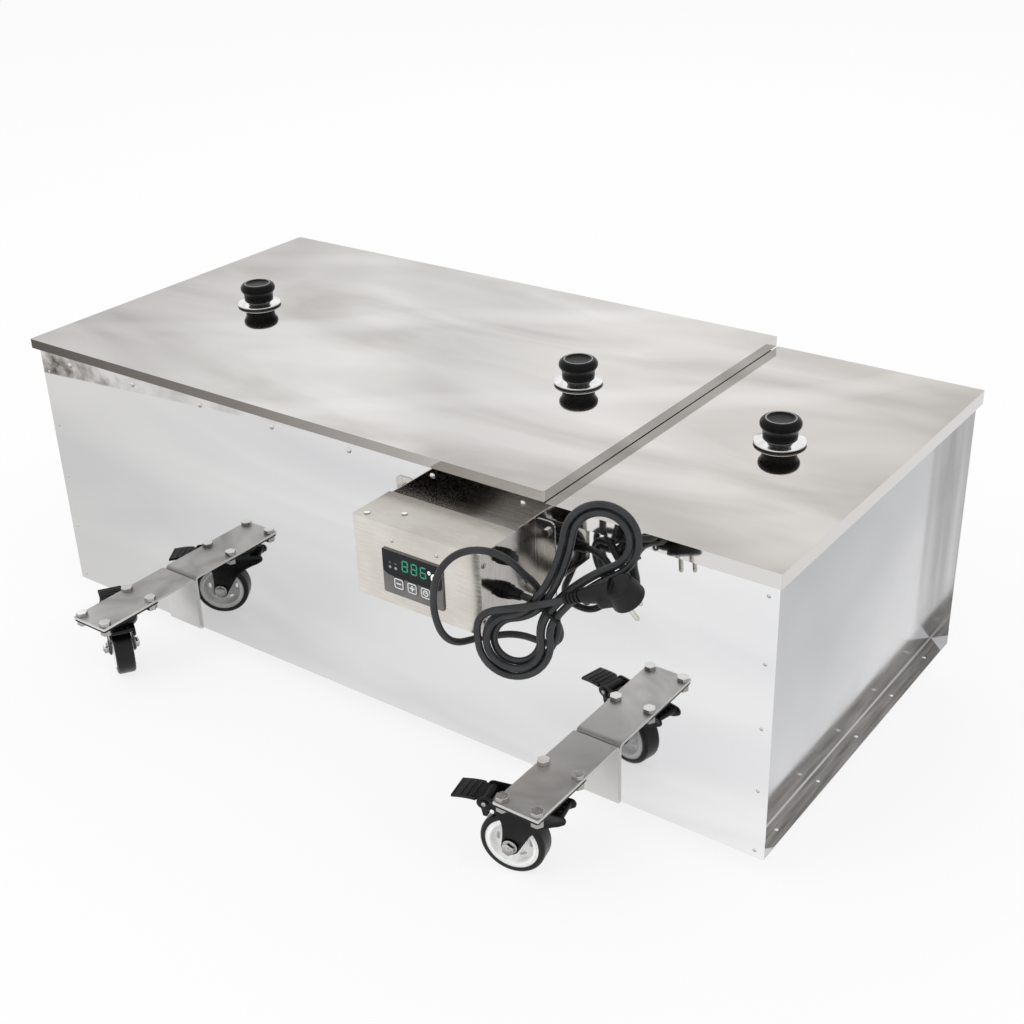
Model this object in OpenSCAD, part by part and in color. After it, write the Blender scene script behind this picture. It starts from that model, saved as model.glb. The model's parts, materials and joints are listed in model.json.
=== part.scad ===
// Heated honey strainer tank: a long double-walled basin on four braked casters,
// with two lift-off lids, a thermostat box on its front wall and an outlet valve at its left end.
// The origin is on the floor, under the middle of the whole tank; +X runs along it and -Y is its front.

/* [Casing] */
// Length of the casing
body_l = 1079; // [950:1:1300]
// Width of the casing, front to back
body_w = 500; // [440:1:600]
// Height of the casing, from its floor to the large lid's seat
body_h = 357; // [310:1:420]
// Thickness of the casing and lid sheets
sheet = 1; // [0.8:0.1:1.4]
// How far the end panels stand in from the casing's ends
end_recess = 22; // [16:1:30]
// Length of the casing under the large lid
large_part_l = 809; // [700:1:850]
// How much lower the small lid sits than the large one
seat_drop = 13; // [8:1:16]

/* [Basin] */
// Thickness of the basin's sheet
basin_sheet = 1.5; // [1:0.1:2]
// Space between the casing's long walls and the basin
side_gap = 28; // [22:1:36]
// Space between the end panels and the basin
end_gap = 26; // [20:1:34]
// Space under the basin, for the heater and its insulation
floor_gap = 40; // [34:1:50]
// Width of the ledges that the strainer baskets hang on
ledge_w = 12; // [8:1:16]
// How far the ledges lie under the lids' seats
ledge_drop = 20; // [18:1:30]
// Height of the gap under the partition, where the honey passes
under_gap = 30; // [20:1:50]

/* [Lids] */
// How far the lids would reach past the casing if they sat in its middle
lid_over = 8.4; // [8:0.1:12]
// How far the lids sit towards the left and the back, within their play
lid_shift = 5.4; // [0:0.1:6]
// Depth of the large lid's edge
large_edge = 12.5; // [10:0.5:13]
// Depth of the small lid's edge
small_edge = 17; // [12:0.5:20]
// Gap between the two lids
lid_joint = 1; // [0.6:0.1:2]
// Gap between the large lid's inner edge and the cross rail
rail_gap = 1.5; // [1:0.1:3]
// Distance of the large lid's first knob from its left edge
knob_in = 166.5; // [120:0.5:260]
// Distance between the large lid's two knobs
knob_pitch = 528.5; // [400:0.5:560]
// Diameter of a knob's grip
knob_d = 47; // [38:1:56]
// Height of a knob above its rosette
knob_h = 24; // [20:1:32]
// Diameter of the polished rosette under a knob
rosette_d = 59; // [50:1:70]
// Height of a rosette
rosette_h = 7.5; // [5:0.5:10]

/* [Cradles] */
// Width of a cradle strap
strap_w = 57; // [56:1:70]
// Thickness of a cradle strap
strap_t = 3.4; // [3:0.1:5]
// How far a cradle's plates reach out from the casing
strap_reach = 153.4; // [150:0.1:170]
// Height of a cradle's plates above the casing's floor
cradle_drop = 75; // [70:1:80]
// Distance of the left cradle's middle from the casing's left end
strap_x = 215; // [170:1:260]
// Distance between the two cradles
strap_pitch = 659; // [500:1:660]

/* [Casters] */
// Diameter of a caster's wheel
wheel_d = 75; // [70:1:76]
// Width of a caster's tyre
tyre_w = 24; // [20:1:26]
// Height of a caster, with its own top plate
caster_h = 107.6; // [107:0.1:112]
// Distance of the wheel's axle behind the swivel axis
trail = 30; // [26:1:32]
// Distance between the caster's bolts, along the tank
bolt_dx = 44; // [42:0.5:46]
// Distance between the caster's bolts, across the tank
bolt_dy = 74; // [72:0.5:78]
// Distance of the outer bolts from the end of the cradle plate
bolt_in = 8; // [7.5:0.5:10]
// Diameter of the caster's axle
axle_d = 8; // [6:0.5:9]
// Diameter of the king pin that a fork turns on
king_d = 12; // [10:0.5:14]
// Radial clearance between a turning piece and its pin
run_gap = 0.05; // [0.02:0.01:0.1]

/* [Control box] */
// Length of the control box
box_l = 168; // [150:1:190]
// Depth of the control box, front to back
box_d = 62.5; // [56:0.5:70]
// Height of the control box
box_h = 96.5; // [92:0.5:110]
// Distance of the control box from the casing's left end
box_x = 632; // [560:1:640]
// Distance between the control box and the casing
box_off = 36; // [30:1:45]
// Drop of the box's top below the casing's top edge
box_drop = 32; // [28:1:50]
// Length of the thermostat's front
display_l = 80; // [76:1:84]
// Height of the thermostat's front
display_h = 52; // [48:1:54]
// Side of a thermostat button
button_s = 12.4; // [10:0.2:13]
// Distance between the thermostat buttons
button_pitch = 18; // [17:0.5:20]
// Travel of a thermostat button
button_travel = 0.6; // [0.4:0.1:1]

/* [Outlet] */
// Outer diameter of the outlet pipe
pipe_d = 42.4; // [38:0.1:44]
// Wall of the outlet pipe
pipe_wall = 2; // [1.5:0.1:2.6]
// Diameter of the valve's hose spigot
spigot_d = 41.9; // [40:0.1:44]
// Length of the valve's hose spigot
spigot_l = 23; // [18:1:32]
// Diameter of the valve's ball
ball_d = 50; // [48:1:54]
// Diameter of the passage through the valve
passage_d = 32; // [28:1:34]
// Length of the valve's lever from its stem
lever_l = 110; // [90:1:130]

/* [Strainer baskets] */
// Length of the fine basket in the large part
fine_l = 380; // [300:1:400]
// Length of the coarse basket in the small part
coarse_l = 184; // [150:1:186]
// Depth of the fine basket
fine_depth = 240; // [180:1:250]
// Depth of the coarse basket
coarse_depth = 200; // [150:1:240]
// Thickness of the baskets' sheet
basket_sheet = 1.2; // [1:0.1:2]

/* [Mains lead] */
// Diameter of the lead
lead_d = 7.6; // [7:0.1:8]
// Length of the coiled lead between the middles of its two folds
hank_l = 143; // [130:1:160]
// Distance of the coil's waist, at its tie, from the lower fold's middle
waist_x = 48; // [42:1:54]

/* [Hidden] */
$fn = 48;

// Clearance between pieces that rest or move on each other
rest_gap = 0.3;
// Overlap of a cutting solid past the face that it cuts
cut = 1;

// Heights above the floor
casing_z = caster_h + strap_t - cradle_drop;
rim_z = casing_z + body_h;
low_rim_z = rim_z - seat_drop;
basin_z = casing_z + floor_gap;
basin_floor = basin_z + basin_sheet;

// Plan of the basin, from the casing's front left corner
basin_x0 = end_recess + sheet + end_gap;
basin_x1 = body_l - basin_x0;
basin_y0 = sheet + side_gap;
basin_y1 = body_w - basin_y0;
step_x = large_part_l;
rail_w = 24;

// Valve: measured outwards from its inlet face, along the outlet pipe
valve_nut_l = 16;
valve_mid_l = ball_d - 6;
valve_l = 2 * valve_nut_l + valve_mid_l + spigot_l;
valve_inlet_x = end_recess - 6;
valve_stem_x = valve_inlet_x - valve_nut_l - valve_mid_l / 2;
outlet_z = basin_floor + pipe_d / 2 + 2;
outlet_y = body_w / 2;

// Middle of the whole tank, from the casing's front left corner
left_reach = valve_l - valve_inlet_x;
right_reach = lid_over - lid_shift;
mid_x = (body_l + right_reach - left_reach) / 2;
mid_y = body_w / 2;

// Lids, from the casing's front left corner
lid_x0 = -lid_over - lid_shift;
lid_x1 = body_l + lid_over - lid_shift;
lid_y0 = -lid_over + lid_shift;
lid_y1 = body_w + lid_over + lid_shift;
large_x1 = step_x + rail_gap + sheet;
small_x0 = large_x1 + lid_joint;
lid_mid_y = (lid_y0 + lid_y1) / 2;
large_top = rim_z + rest_gap + sheet;
small_top = low_rim_z + rest_gap + sheet;

// Casters: where each one swivels, which way its wheel trails, and which side of the tank it is on
strap_top = caster_h + strap_t;
caster_out = strap_reach - bolt_in - bolt_dy / 2;
cradle_xs = [strap_x, strap_x + strap_pitch];
sites = [
    [cradle_xs[0], -caster_out, 147],
    [cradle_xs[1], -caster_out, 193],
    [cradle_xs[0], body_w + caster_out, 187],
    [cradle_xs[1], body_w + caster_out, 201]
];
wheel_r = wheel_d / 2;
top_plate_t = 2.5;
plate_bottom = caster_h - top_plate_t;
crown_t = 3;
crown_z = plate_bottom - 14;
cheek_in = tyre_w / 2 + 2;
cheek_t = 2.5;
pedal_x = trail + 28;
pedal_z = wheel_r + 49;
pedal_pin_d = 5;

// Control box corner, from the casing's front left corner
box_y = -box_off - box_d;
box_top = rim_z - box_drop;
box_z = box_top - box_h;
box_sheet = 1.2;
side_in = 2;
ear_w = 19;
display_x = 39;
display_top = 29;
fascia_t = 2;
button_z = box_top - 66;
button_x0 = box_x + 60.5;
gland_ys = [-57, -60];
gland_zs = [box_top - 21, box_top - 59];
gland_x = box_x + box_l - side_in;
gland_hex_l = 4;
gland_nut_l = 6;
gland_relief_l = 13;

// Mains lead: points of its two free stretches, from the origin
lead_r = lead_d / 2;
lead_start = [gland_x + gland_hex_l + gland_nut_l + gland_relief_l - mid_x, gland_ys[1] - mid_y, gland_zs[1]];
ring_points = [
    [338.3, -309.4, 299.9], [350.4, -307.4, 293.7], [358.6, -304.1, 283.2], [361.6, -300, 270.4], [358.8, -295.9, 257.6],
    [350.7, -292.6, 247], [338.7, -290.5, 240.5], [325, -290.1, 239.4], [311.5, -292.7, 240.9], [300, -299.9, 242.9],
    [292.5, -311.2, 245.3], [288.9, -324.2, 248.7], [285.9, -336.8, 253.5], [283.4, -350.1, 256.5], [280.1, -363.1, 260],
    [276.2, -374, 267.3], [272.5, -380.9, 278.6], [269.7, -384, 291.8], [267.7, -384.9, 305.5], [267.2, -384.3, 319.3],
    [268.4, -382.5, 333], [271.7, -379.3, 346], [277.9, -374.9, 357.6], [286.8, -369.6, 366.7], [297.9, -363.4, 372],
    [309.5, -355.9, 372.5], [319.8, -347.8, 368.4], [327.6, -339.6, 360.4], [333, -332.2, 350.1], [337.2, -325, 339],
    [342.1, -317.5, 328.4], [348.5, -313.8, 316.8], [356.1, -313, 305.3], [364.5, -312.1, 294.3], [369.6, -314.8, 281.9],
    [369.9, -321.3, 269.8]
];
tail_points = [
    [302.7, -359.5, 288.8], [308, -357.6, 298.7], [317.1, -354.9, 304.9], [327.5, -351.8, 308.7], [338, -348, 311.5],
    [348.2, -343.5, 314.2], [358.4, -339, 317.1], [368.5, -334.5, 320.2]
];
plug_at = [387, -326, 327];
plug_turn = [21, -26, 12];

// Coil of the lead: its lower fold's middle and how it is turned, then its strands
hank_low = [336.7, -342.4, 270.3];
hank_turn = [74, -52.8, 36.5];
low_r = 22.1;
high_r = 26;
waist_half = 2.3;
strand_step = lead_d + 0.9;
layer_step = lead_d + 0.8;
climb_share = 0.16;

module placed() {
    translate([-mid_x, -mid_y, 0]) children();
}

module box_at(corner, size) {
    translate(corner) cube(size);
}

module tube_x(d, l) {
    rotate([0, 90, 0]) cylinder(d = d, h = l);
}

module tube_y(d, l) {
    rotate([-90, 0, 0]) cylinder(d = d, h = l);
}

// A plan rectangle with rounded corners, as a plate
module rounded_plate(size, r, t) {
    linear_extrude(t) union() {
        translate([r, 0]) square([size[0] - 2 * r, size[1]]);
        translate([0, r]) square([size[0], size[1] - 2 * r]);
        for (x = [r, size[0] - r], y = [r, size[1] - r]) translate([x, y]) circle(r);
    }
}

// Long wall of the casing, with the step under the small lid
module long_wall() {
    difference() {
        box_at([0, 0, casing_z], [body_l, sheet, body_h]);
        box_at([step_x, -cut, low_rim_z], [body_l, sheet + 2 * cut, body_h]);
    }
}

module front_panel() {
    color("gainsboro") placed() long_wall();
}

module back_panel() {
    color("gainsboro") placed() translate([0, body_w - sheet, 0]) long_wall();
}

module floor_panel() {
    color("silver") placed()
        box_at([0, sheet, casing_z], [body_l, body_w - 2 * sheet, sheet]);
}

// End panel with turned-out flanges, mitred at the floor; it stands at the left end
module end_panel(top) {
    inner_w = body_w - 2 * sheet;
    h = top - sheet - casing_z - sheet;
    translate([0, sheet, casing_z + sheet]) {
        box_at([end_recess, 0, 0], [sheet, inner_w, h]);
        linear_extrude(sheet)
            polygon([[0, end_recess], [end_recess, 0], [end_recess, inner_w], [0, inner_w - end_recess]]);
        for (y = [sheet, inner_w]) translate([0, y, 0]) rotate([90, 0, 0]) linear_extrude(sheet)
            polygon([[0, end_recess], [end_recess, 0], [end_recess, h], [0, h]]);
    }
}

module left_end_panel() {
    color("lightgray") placed() difference() {
        end_panel(rim_z);
        translate([end_recess - cut, outlet_y, outlet_z]) tube_x(pipe_d + 1, sheet + 2 * cut);
    }
}

module right_end_panel() {
    color("lightgray") placed() translate([body_l, 0, 0]) mirror([1, 0, 0]) end_panel(low_rim_z);
}

module basin_block(inset, z0, top_over) {
    x0 = basin_x0 + inset;
    y0 = basin_y0 + inset;
    w = basin_y1 - basin_y0 - 2 * inset;
    box_at([x0, y0, z0], [basin_x1 - inset - x0, w, low_rim_z - z0 + top_over]);
    box_at([x0, y0, z0], [step_x - sheet - x0, w, rim_z - z0 + top_over]);
}

// Flat rim strips that tie the basin to the casing, with lips behind the long walls
module rim(x0, x1, z, end_x0, end_x1) {
    box_at([end_x0, sheet, z - sheet], [end_x1 - end_x0, basin_y0 - sheet, sheet]);
    box_at([end_x0, basin_y1, z - sheet], [end_x1 - end_x0, body_w - sheet - basin_y1, sheet]);
    for (y = [sheet, body_w - 2 * sheet]) box_at([x0, y, z - 30], [x1 - x0, sheet, 30]);
}

module basin() {
    lip_in = end_recess + sheet + rest_gap;
    color("gainsboro") placed() {
        difference() {
            union() {
                basin_block(0, basin_z, 0);
                rim(lip_in, step_x - sheet, rim_z, 0, step_x - sheet);
                rim(step_x, body_l - lip_in, low_rim_z, step_x, body_l);
                box_at([0, basin_y0, rim_z - sheet], [basin_x0, basin_y1 - basin_y0, sheet]);
                box_at([basin_x1, basin_y0, low_rim_z - sheet],
                    [body_l - basin_x1, basin_y1 - basin_y0, sheet]);
            }
            basin_block(basin_sheet, basin_floor, cut);
            translate([basin_x0 - cut, outlet_y, outlet_z]) tube_x(pipe_d, basin_sheet + 2 * cut);
        }
        for (part = [
            [basin_x0 + 8, step_x - sheet - 8, rim_z - ledge_drop],
            [step_x + rail_w + 4, basin_x1 - 8, low_rim_z - ledge_drop]
        ]) for (y = [basin_y0 + basin_sheet, basin_y1 - basin_sheet - ledge_w])
            box_at([part[0], y, part[2] - basin_sheet], [part[1] - part[0], ledge_w, basin_sheet]);
    }
}

module partition() {
    slack = 0.5;
    z0 = basin_floor + under_gap;
    inner_y = basin_y0 + basin_sheet + slack;
    color("silver") placed() box_at([step_x + rail_w / 2, inner_y, z0],
        [basin_sheet, body_w - 2 * inner_y, low_rim_z - sheet - z0]);
}

// Z-shaped rail that carries the inner edges of both lids
module cross_rail() {
    inner_y = basin_y0 + basin_sheet;
    inner_w = body_w - 2 * inner_y;
    color("gainsboro") placed() {
        box_at([step_x - sheet, sheet, low_rim_z], [sheet, body_w - 2 * sheet, seat_drop]);
        box_at([step_x - sheet - rail_w, inner_y, rim_z - sheet], [rail_w, inner_w, sheet]);
        box_at([step_x - sheet, inner_y, low_rim_z - sheet], [rail_w + sheet, inner_w, sheet]);
    }
}

insulation_t = 20;
insulation_top = low_rim_z - 40;
module insulation() {
    x0 = basin_x0;
    l = basin_x1 - basin_x0;
    color("khaki") placed() {
        box_at([x0, 2 * sheet + 1, casing_z + sheet], [l, body_w - 4 * sheet - 2, insulation_t]);
        for (y = [2 * sheet + 1, basin_y1]) box_at([x0, y, casing_z + sheet + insulation_t],
            [l, basin_y0 - 2 * sheet - 1, insulation_top - casing_z - sheet - insulation_t]);
    }
}

// Serpentine heater of square tube under the basin's floor
heater_d = 8;
heater_runs = 8;
module heating_element() {
    run_x0 = basin_x0 + 70;
    run_x1 = basin_x1 - 70;
    pitch = (basin_y1 - basin_y0 - 70) / (heater_runs - 1);
    y0 = basin_y0 + 35;
    color("dimgray") placed() translate([0, 0, basin_z - heater_d / 2]) {
        for (i = [0 : heater_runs - 1]) translate([run_x0, y0 + i * pitch - heater_d / 2, -heater_d / 2])
            cube([run_x1 - run_x0, heater_d, heater_d]);
        for (i = [0 : heater_runs - 2])
            translate([i % 2 == 0 ? run_x1 : run_x0, y0 + (i + 0.5) * pitch, -heater_d / 2])
                linear_extrude(heater_d) intersection() {
                    difference() {
                        circle(d = pitch + heater_d);
                        circle(d = pitch - heater_d);
                    }
                    translate([i % 2 == 0 ? 0 : -pitch, -pitch]) square([pitch, 2 * pitch]);
                }
    }
}

module temperature_probe() {
    color("silver") placed() translate([basin_x1 + 4, outlet_y - 30, basin_z + 36]) {
        tube_y(8, 60);
        translate([-4, 22, -10]) cube([1, 16, 20]);
    }
}

// Dome heads along the front and back walls, and small flat heads around the end flanges
module dome(d, h) {
    rotate_extrude() intersection() {
        translate([0, h - d * d / (8 * h) - h / 2]) circle(d * d / (8 * h) + h / 2);
        square([d / 2, h]);
    }
}

dome_first = 58;
dome_pitch = 120.7;
dome_xs = [for (i = [0 : 6]) dome_first + i * dome_pitch];
dome_z = rim_z - 22;
small_rivet_d = 4.4;
module casing_rivets() {
    edge = end_recess / 2;
    z0 = casing_z + 9;
    z1 = low_rim_z - 28;
    y_in = 50;
    zs = [for (i = [0 : 4]) z0 + i * (z1 - z0) / 4];
    ys = [for (i = [0 : 4]) y_in + i * (body_w - 2 * y_in) / 4];
    color("silver") placed() {
        for (x = dome_xs) {
            translate([x, 0, dome_z]) rotate([90, 0, 0]) dome(7, 2.4);
            translate([x, body_w, dome_z]) rotate([-90, 0, 0]) dome(7, 2.4);
        }
        for (x = [edge, body_l - edge], z = zs) {
            translate([x, 0, z]) rotate([90, 0, 0]) dome(small_rivet_d, 0.8);
            translate([x, body_w, z]) rotate([-90, 0, 0]) dome(small_rivet_d, 0.8);
        }
        for (x = [edge, body_l - edge], y = ys)
            translate([x, y, casing_z + 2 * sheet]) dome(small_rivet_d, 0.8);
    }
}

// A lid: a flat sheet with turned-down edges; the inner edge of the small lid is plain
module lid(x0, x1, top, edge, right_edge, left_edge) {
    w = lid_y1 - lid_y0;
    translate([x0, lid_y0, top - edge]) difference() {
        rounded_plate([x1 - x0, w], 2, edge);
        translate([left_edge ? sheet : -cut, sheet, -cut])
            cube([x1 - x0 - (left_edge ? sheet : -cut) - (right_edge ? sheet : -cut),
                w - 2 * sheet, edge - sheet + cut]);
    }
}

module large_lid() {
    color("whitesmoke") placed() lid(lid_x0, large_x1, large_top, large_edge, true, true);
}

module small_lid() {
    color("whitesmoke") placed() lid(small_x0, lid_x1, small_top, small_edge, true, false);
}

large_knob_xs = [lid_x0 + knob_in, lid_x0 + knob_in + knob_pitch];
small_knob_x = (small_x0 + lid_x1) / 2;

module rosette() {
    color("silver") rotate_extrude() polygon([
        [0, 0], [rosette_d / 2 - 1.5, 0], [rosette_d / 2, 1.2], [rosette_d / 2 - 1, 2.4],
        [knob_d / 2 - 3.5, rosette_h - 0.6], [knob_d / 2 - 4.5, rosette_h], [0, rosette_h]
    ]);
}

// Mushroom grip: a waisted neck, a full round shoulder and a shallow dished top
module knob() {
    r = knob_d / 2;
    neck = r - 4;
    color([0.08, 0.08, 0.08]) rotate_extrude() difference() {
        union() {
            square([neck - 1, knob_h - 2]);
            translate([0, 2]) square([neck, 6]);
            translate([neck - 2, 2]) circle(2);
            hull() {
                translate([0, knob_h - 14]) square([1, 13]);
                translate([r - 6.5, knob_h - 8]) circle(6.5);
            }
            translate([0, knob_h - 3]) square([r - 8, 3]);
        }
        translate([-30, -10]) square([30, knob_h + 20]);
        translate([0, knob_h - 0.8]) square([r - 10, 2]);
        translate([0, -3]) square([r, 3]);
    }
}

module large_lid_rosettes() {
    placed() for (x = large_knob_xs) translate([x, lid_mid_y, large_top]) rosette();
}

module large_lid_knobs() {
    placed() for (x = large_knob_xs) translate([x, lid_mid_y, large_top + rosette_h]) knob();
}

module small_lid_rosette() {
    placed() translate([small_knob_x, lid_mid_y, small_top]) rosette();
}

module small_lid_knob() {
    placed() translate([small_knob_x, lid_mid_y, small_top + rosette_h]) knob();
}

// Strainer basket with a rim that hangs on the ledges, slotted walls and floor, and two bails
module basket(x, l, depth, top, slot_w, slot_pitch) {
    y0 = basin_y0 + basin_sheet + ledge_w + 1;
    w = body_w - 2 * y0;
    t = basket_sheet;
    slot_l = 54;
    bar = 12;
    cols = floor((l - bar) / (slot_l + bar));
    rows = floor((w - bar) / slot_pitch);
    x_in = (l - cols * (slot_l + bar) + bar) / 2;
    y_in = (w - rows * slot_pitch + slot_pitch - slot_w) / 2;
    wall_rows = floor((depth - 60) / slot_pitch);
    translate([x, y0, top - depth]) {
        difference() {
            cube([l, w, depth]);
            box_at([t, t, t], [l - 2 * t, w - 2 * t, depth]);
            for (i = [0 : cols - 1], j = [0 : rows - 1])
                box_at([x_in + i * (slot_l + bar), y_in + j * slot_pitch, -cut],
                    [slot_l, slot_w, t + 2 * cut]);
            for (i = [0 : cols - 1], j = [0 : wall_rows - 1])
                box_at([x_in + i * (slot_l + bar), -cut, 24 + j * slot_pitch],
                    [slot_l, w + 2 * cut, slot_w]);
        }
        for (y = [-ledge_w + 1, w]) box_at([0, y, depth - t], [l, ledge_w - 1, t]);
        for (x = [t + 2, l - t - 2]) translate([x, w / 2, depth - 26]) bail();
    }
}

// Fixed wire bail, against the basket's end wall
module bail() {
    half = 45;
    rise = 16;
    wire = 5;
    rotate([90, 0, 90]) {
        for (x = [-half, half]) translate([x, -rise, 0]) rotate([-90, 0, 0]) cylinder(d = wire, h = rise);
        translate([-half + rise, rise, 0]) rotate([0, 90, 0]) cylinder(d = wire, h = 2 * (half - rise));
        for (side = [0, 1]) mirror([side, 0, 0]) translate([half - rise, 0, 0])
            rotate_extrude(angle = 90) translate([rise, 0]) circle(d = wire);
    }
}

fine_x = step_x - rail_w - sheet - 2 - fine_l;
coarse_x = step_x + rail_w + 4;
module fine_basket() {
    color("lightsteelblue") placed()
        basket(fine_x, fine_l, fine_depth, rim_z - ledge_drop + basket_sheet + rest_gap, 4, 20);
}

module coarse_basket() {
    color("lightsteelblue") placed()
        basket(coarse_x, coarse_l, coarse_depth, low_rim_z - ledge_drop + basket_sheet + rest_gap, 8, 26);
}

module outlet_pipe() {
    x1 = basin_x0 + basin_sheet;
    color("silver") placed() translate([valve_inlet_x, outlet_y, outlet_z]) difference() {
        tube_x(pipe_d, x1 - valve_inlet_x);
        translate([-cut, 0, 0]) tube_x(pipe_d - 2 * pipe_wall, x1 - valve_inlet_x + 2 * cut);
    }
}

// Ball valve: hexagon ends, a round middle with a ball chamber, a stem collar and a hose spigot
hex_d = 56;
stem_d = 11;
chamber_gap = 0.3;
collar_z = ball_d / 2 + 10;
module valve_body() {
    mid_x0 = valve_nut_l;
    color("lightgray") placed() translate([valve_inlet_x, outlet_y, outlet_z])
        mirror([1, 0, 0]) difference() {
            union() {
                for (x = [0, valve_nut_l + valve_mid_l]) translate([x, 0, 0])
                    rotate([0, 90, 0]) cylinder(d = hex_d, h = valve_nut_l, $fn = 6);
                translate([mid_x0, 0, 0]) tube_x(ball_d + 8, valve_mid_l);
                translate([2 * valve_nut_l + valve_mid_l, 0, 0]) tube_x(spigot_d, spigot_l);
                translate([mid_x0 + valve_mid_l / 2, 0, 0]) cylinder(d = 24, h = collar_z);
            }
            translate([-cut, 0, 0]) tube_x(passage_d, valve_l + 2 * cut);
            translate([mid_x0 + valve_mid_l / 2, 0, 0]) sphere(d = ball_d + 2 * chamber_gap);
            translate([mid_x0 + valve_mid_l / 2, 0, 0])
                cylinder(d = stem_d + 2 * run_gap, h = collar_z + cut);
        }
}

module valve_ball() {
    color("white") placed() translate([valve_stem_x, outlet_y, outlet_z]) difference() {
        union() {
            sphere(d = ball_d);
            cylinder(d = stem_d, h = collar_z + 12);
        }
        translate([0, -ball_d, 0]) tube_y(passage_d, 2 * ball_d);
    }
}

// Flat lever with a cranked grip and a lock nut; closed, it points to the back
lever_w = 20;
lever_t = 2.5;
module valve_lever() {
    z = collar_z + rest_gap;
    color("firebrick") placed() translate([valve_stem_x, outlet_y, outlet_z]) difference() {
        union() {
            translate([0, 0, z]) cylinder(d = lever_w + 4, h = lever_t);
            box_at([-lever_w / 2, 0, z], [lever_w, 34, lever_t]);
            translate([-lever_w / 2, 34, z]) rotate([30, 0, 0]) cube([lever_w, 20, lever_t]);
            box_at([-lever_w / 2, 34 + 20 * cos(30) - lever_t * sin(30), z + 20 * sin(30)],
                [lever_w, lever_l - 34 - 20 * cos(30), lever_t]);
            translate([0, lever_l - lever_t * sin(30), z + 20 * sin(30)]) cylinder(d = lever_w, h = lever_t);
            translate([0, 0, z + lever_t]) cylinder(d = 18, h = 6, $fn = 6);
        }
        translate([0, 0, z - cut]) cylinder(d = stem_d, h = 12 - rest_gap + cut);
    }
}

// Folded housing of the control box, open at both ends, where the bracket plates close it
module box_housing() {
    wx = display_x - 1;
    color("lightgray") placed() translate([box_x, box_y, box_z]) difference() {
        rotate([90, 0, 90]) rounded_plate([box_d, box_h], 1.6, box_l);
        box_at([-cut, box_sheet, box_sheet],
            [box_l + 2 * cut, box_d - 2 * box_sheet, box_h - 2 * box_sheet]);
        for (x = [-cut, box_l - side_in - box_sheet - 0.2])
            box_at([x, box_d - 2 * box_sheet, -cut], [side_in + box_sheet + 0.2 + cut, 2 * box_sheet + cut,
                box_h + 2 * cut]);
        box_at([display_x + 3, -cut, box_h - display_top - display_h + 3],
            [display_l - 6, box_sheet + 2 * cut, display_h - 6]);
        for (x = [52.5, 111.5]) translate([x, -cut, box_h - 18]) tube_y(4, box_sheet + 2 * cut);
    }
}

// Side plate that closes the box and runs back to an ear on the wall
module side_plate() {
    depth = box_off + box_d - box_sheet;
    ear_r = 7;
    box_at([0, -depth, box_z + box_sheet], [box_sheet, depth, box_h - 2 * box_sheet]);
    translate([box_sheet, 0, box_z + box_sheet]) rotate([90, 0, 0])
        translate([-box_sheet, 0, 0]) difference() {
            rounded_plate([ear_w + ear_r, box_h - 2 * box_sheet], ear_r, box_sheet);
            translate([-cut - ear_r, -cut, -cut]) cube([ear_r + cut, box_h, box_sheet + 2 * cut]);
            for (z = [13, box_h - 15]) translate([ear_w + ear_r - 9, z, -cut])
                cylinder(d = 5.4, h = box_sheet + 2 * cut);
        }
}

module box_brackets() {
    color("lightgray") placed() {
        translate([box_x + box_l - side_in - box_sheet, 0, 0]) side_plate();
        translate([box_x + side_in + box_sheet, 0, 0]) mirror([1, 0, 0]) side_plate();
    }
}

// Pan-head screws of the box and hexagon bolts of its ears
module screw(d, h) {
    rotate_extrude() intersection() {
        translate([0, h - d]) circle(d);
        square([d / 2, h]);
    }
}

module box_screws() {
    ear_x = ear_w + 7 - 9;
    right_x = box_x + box_l - side_in - box_sheet;
    left_x = box_x + side_in + box_sheet;
    color("silver") placed() {
        for (p = [[13, 8.5], [48, 28], [box_l - 13, 8.5]])
            translate([box_x + p[0], box_y + p[1], box_top]) screw(7, 2);
        for (z = [box_z + 16, box_top - 16]) {
            translate([right_x + box_sheet, box_y + 7, z]) rotate([0, 90, 0]) screw(6, 1.8);
            translate([left_x - box_sheet, box_y + 7, z]) rotate([0, -90, 0]) screw(6, 1.8);
        }
        for (z = [box_z + box_sheet + 13, box_top + box_sheet - 15], x = [right_x + ear_x, left_x - ear_x])
            translate([x, -box_sheet, z]) rotate([90, 0, 0]) cylinder(d = 9, h = 4, $fn = 6);
    }
}

module thermostat() {
    color("black") placed()
        box_at([box_x + display_x + 3.3, box_y + box_sheet, box_top - display_top - display_h + 3.3],
            [display_l - 6.6, 34, display_h - 6.6]);
}

// Front frame of the thermostat, with a square opening for each button
module thermostat_front() {
    slack = 0.2;
    color("dimgray") placed() difference() {
        translate([box_x + display_x, box_y, box_top - display_top - display_h]) rotate([90, 0, 0])
            rounded_plate([display_l, display_h], 1.5, fascia_t);
        for (i = [0 : 2])
            box_at([button_x0 + i * button_pitch - button_s / 2 - slack, box_y - fascia_t - cut,
                button_z - button_s / 2 - slack], [button_s + 2 * slack, fascia_t + 2 * cut,
                button_s + 2 * slack]);
    }
}

module button(i) {
    color("gray") placed()
        translate([button_x0 + i * button_pitch - button_s / 2, box_y - button_travel - rest_gap,
            button_z - button_s / 2]) rotate([90, 0, 0])
            rounded_plate([button_s, button_s], 2, fascia_t);
}

module minus_button() { button(0); }
module plus_button() { button(1); }
module set_button() { button(2); }

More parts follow.
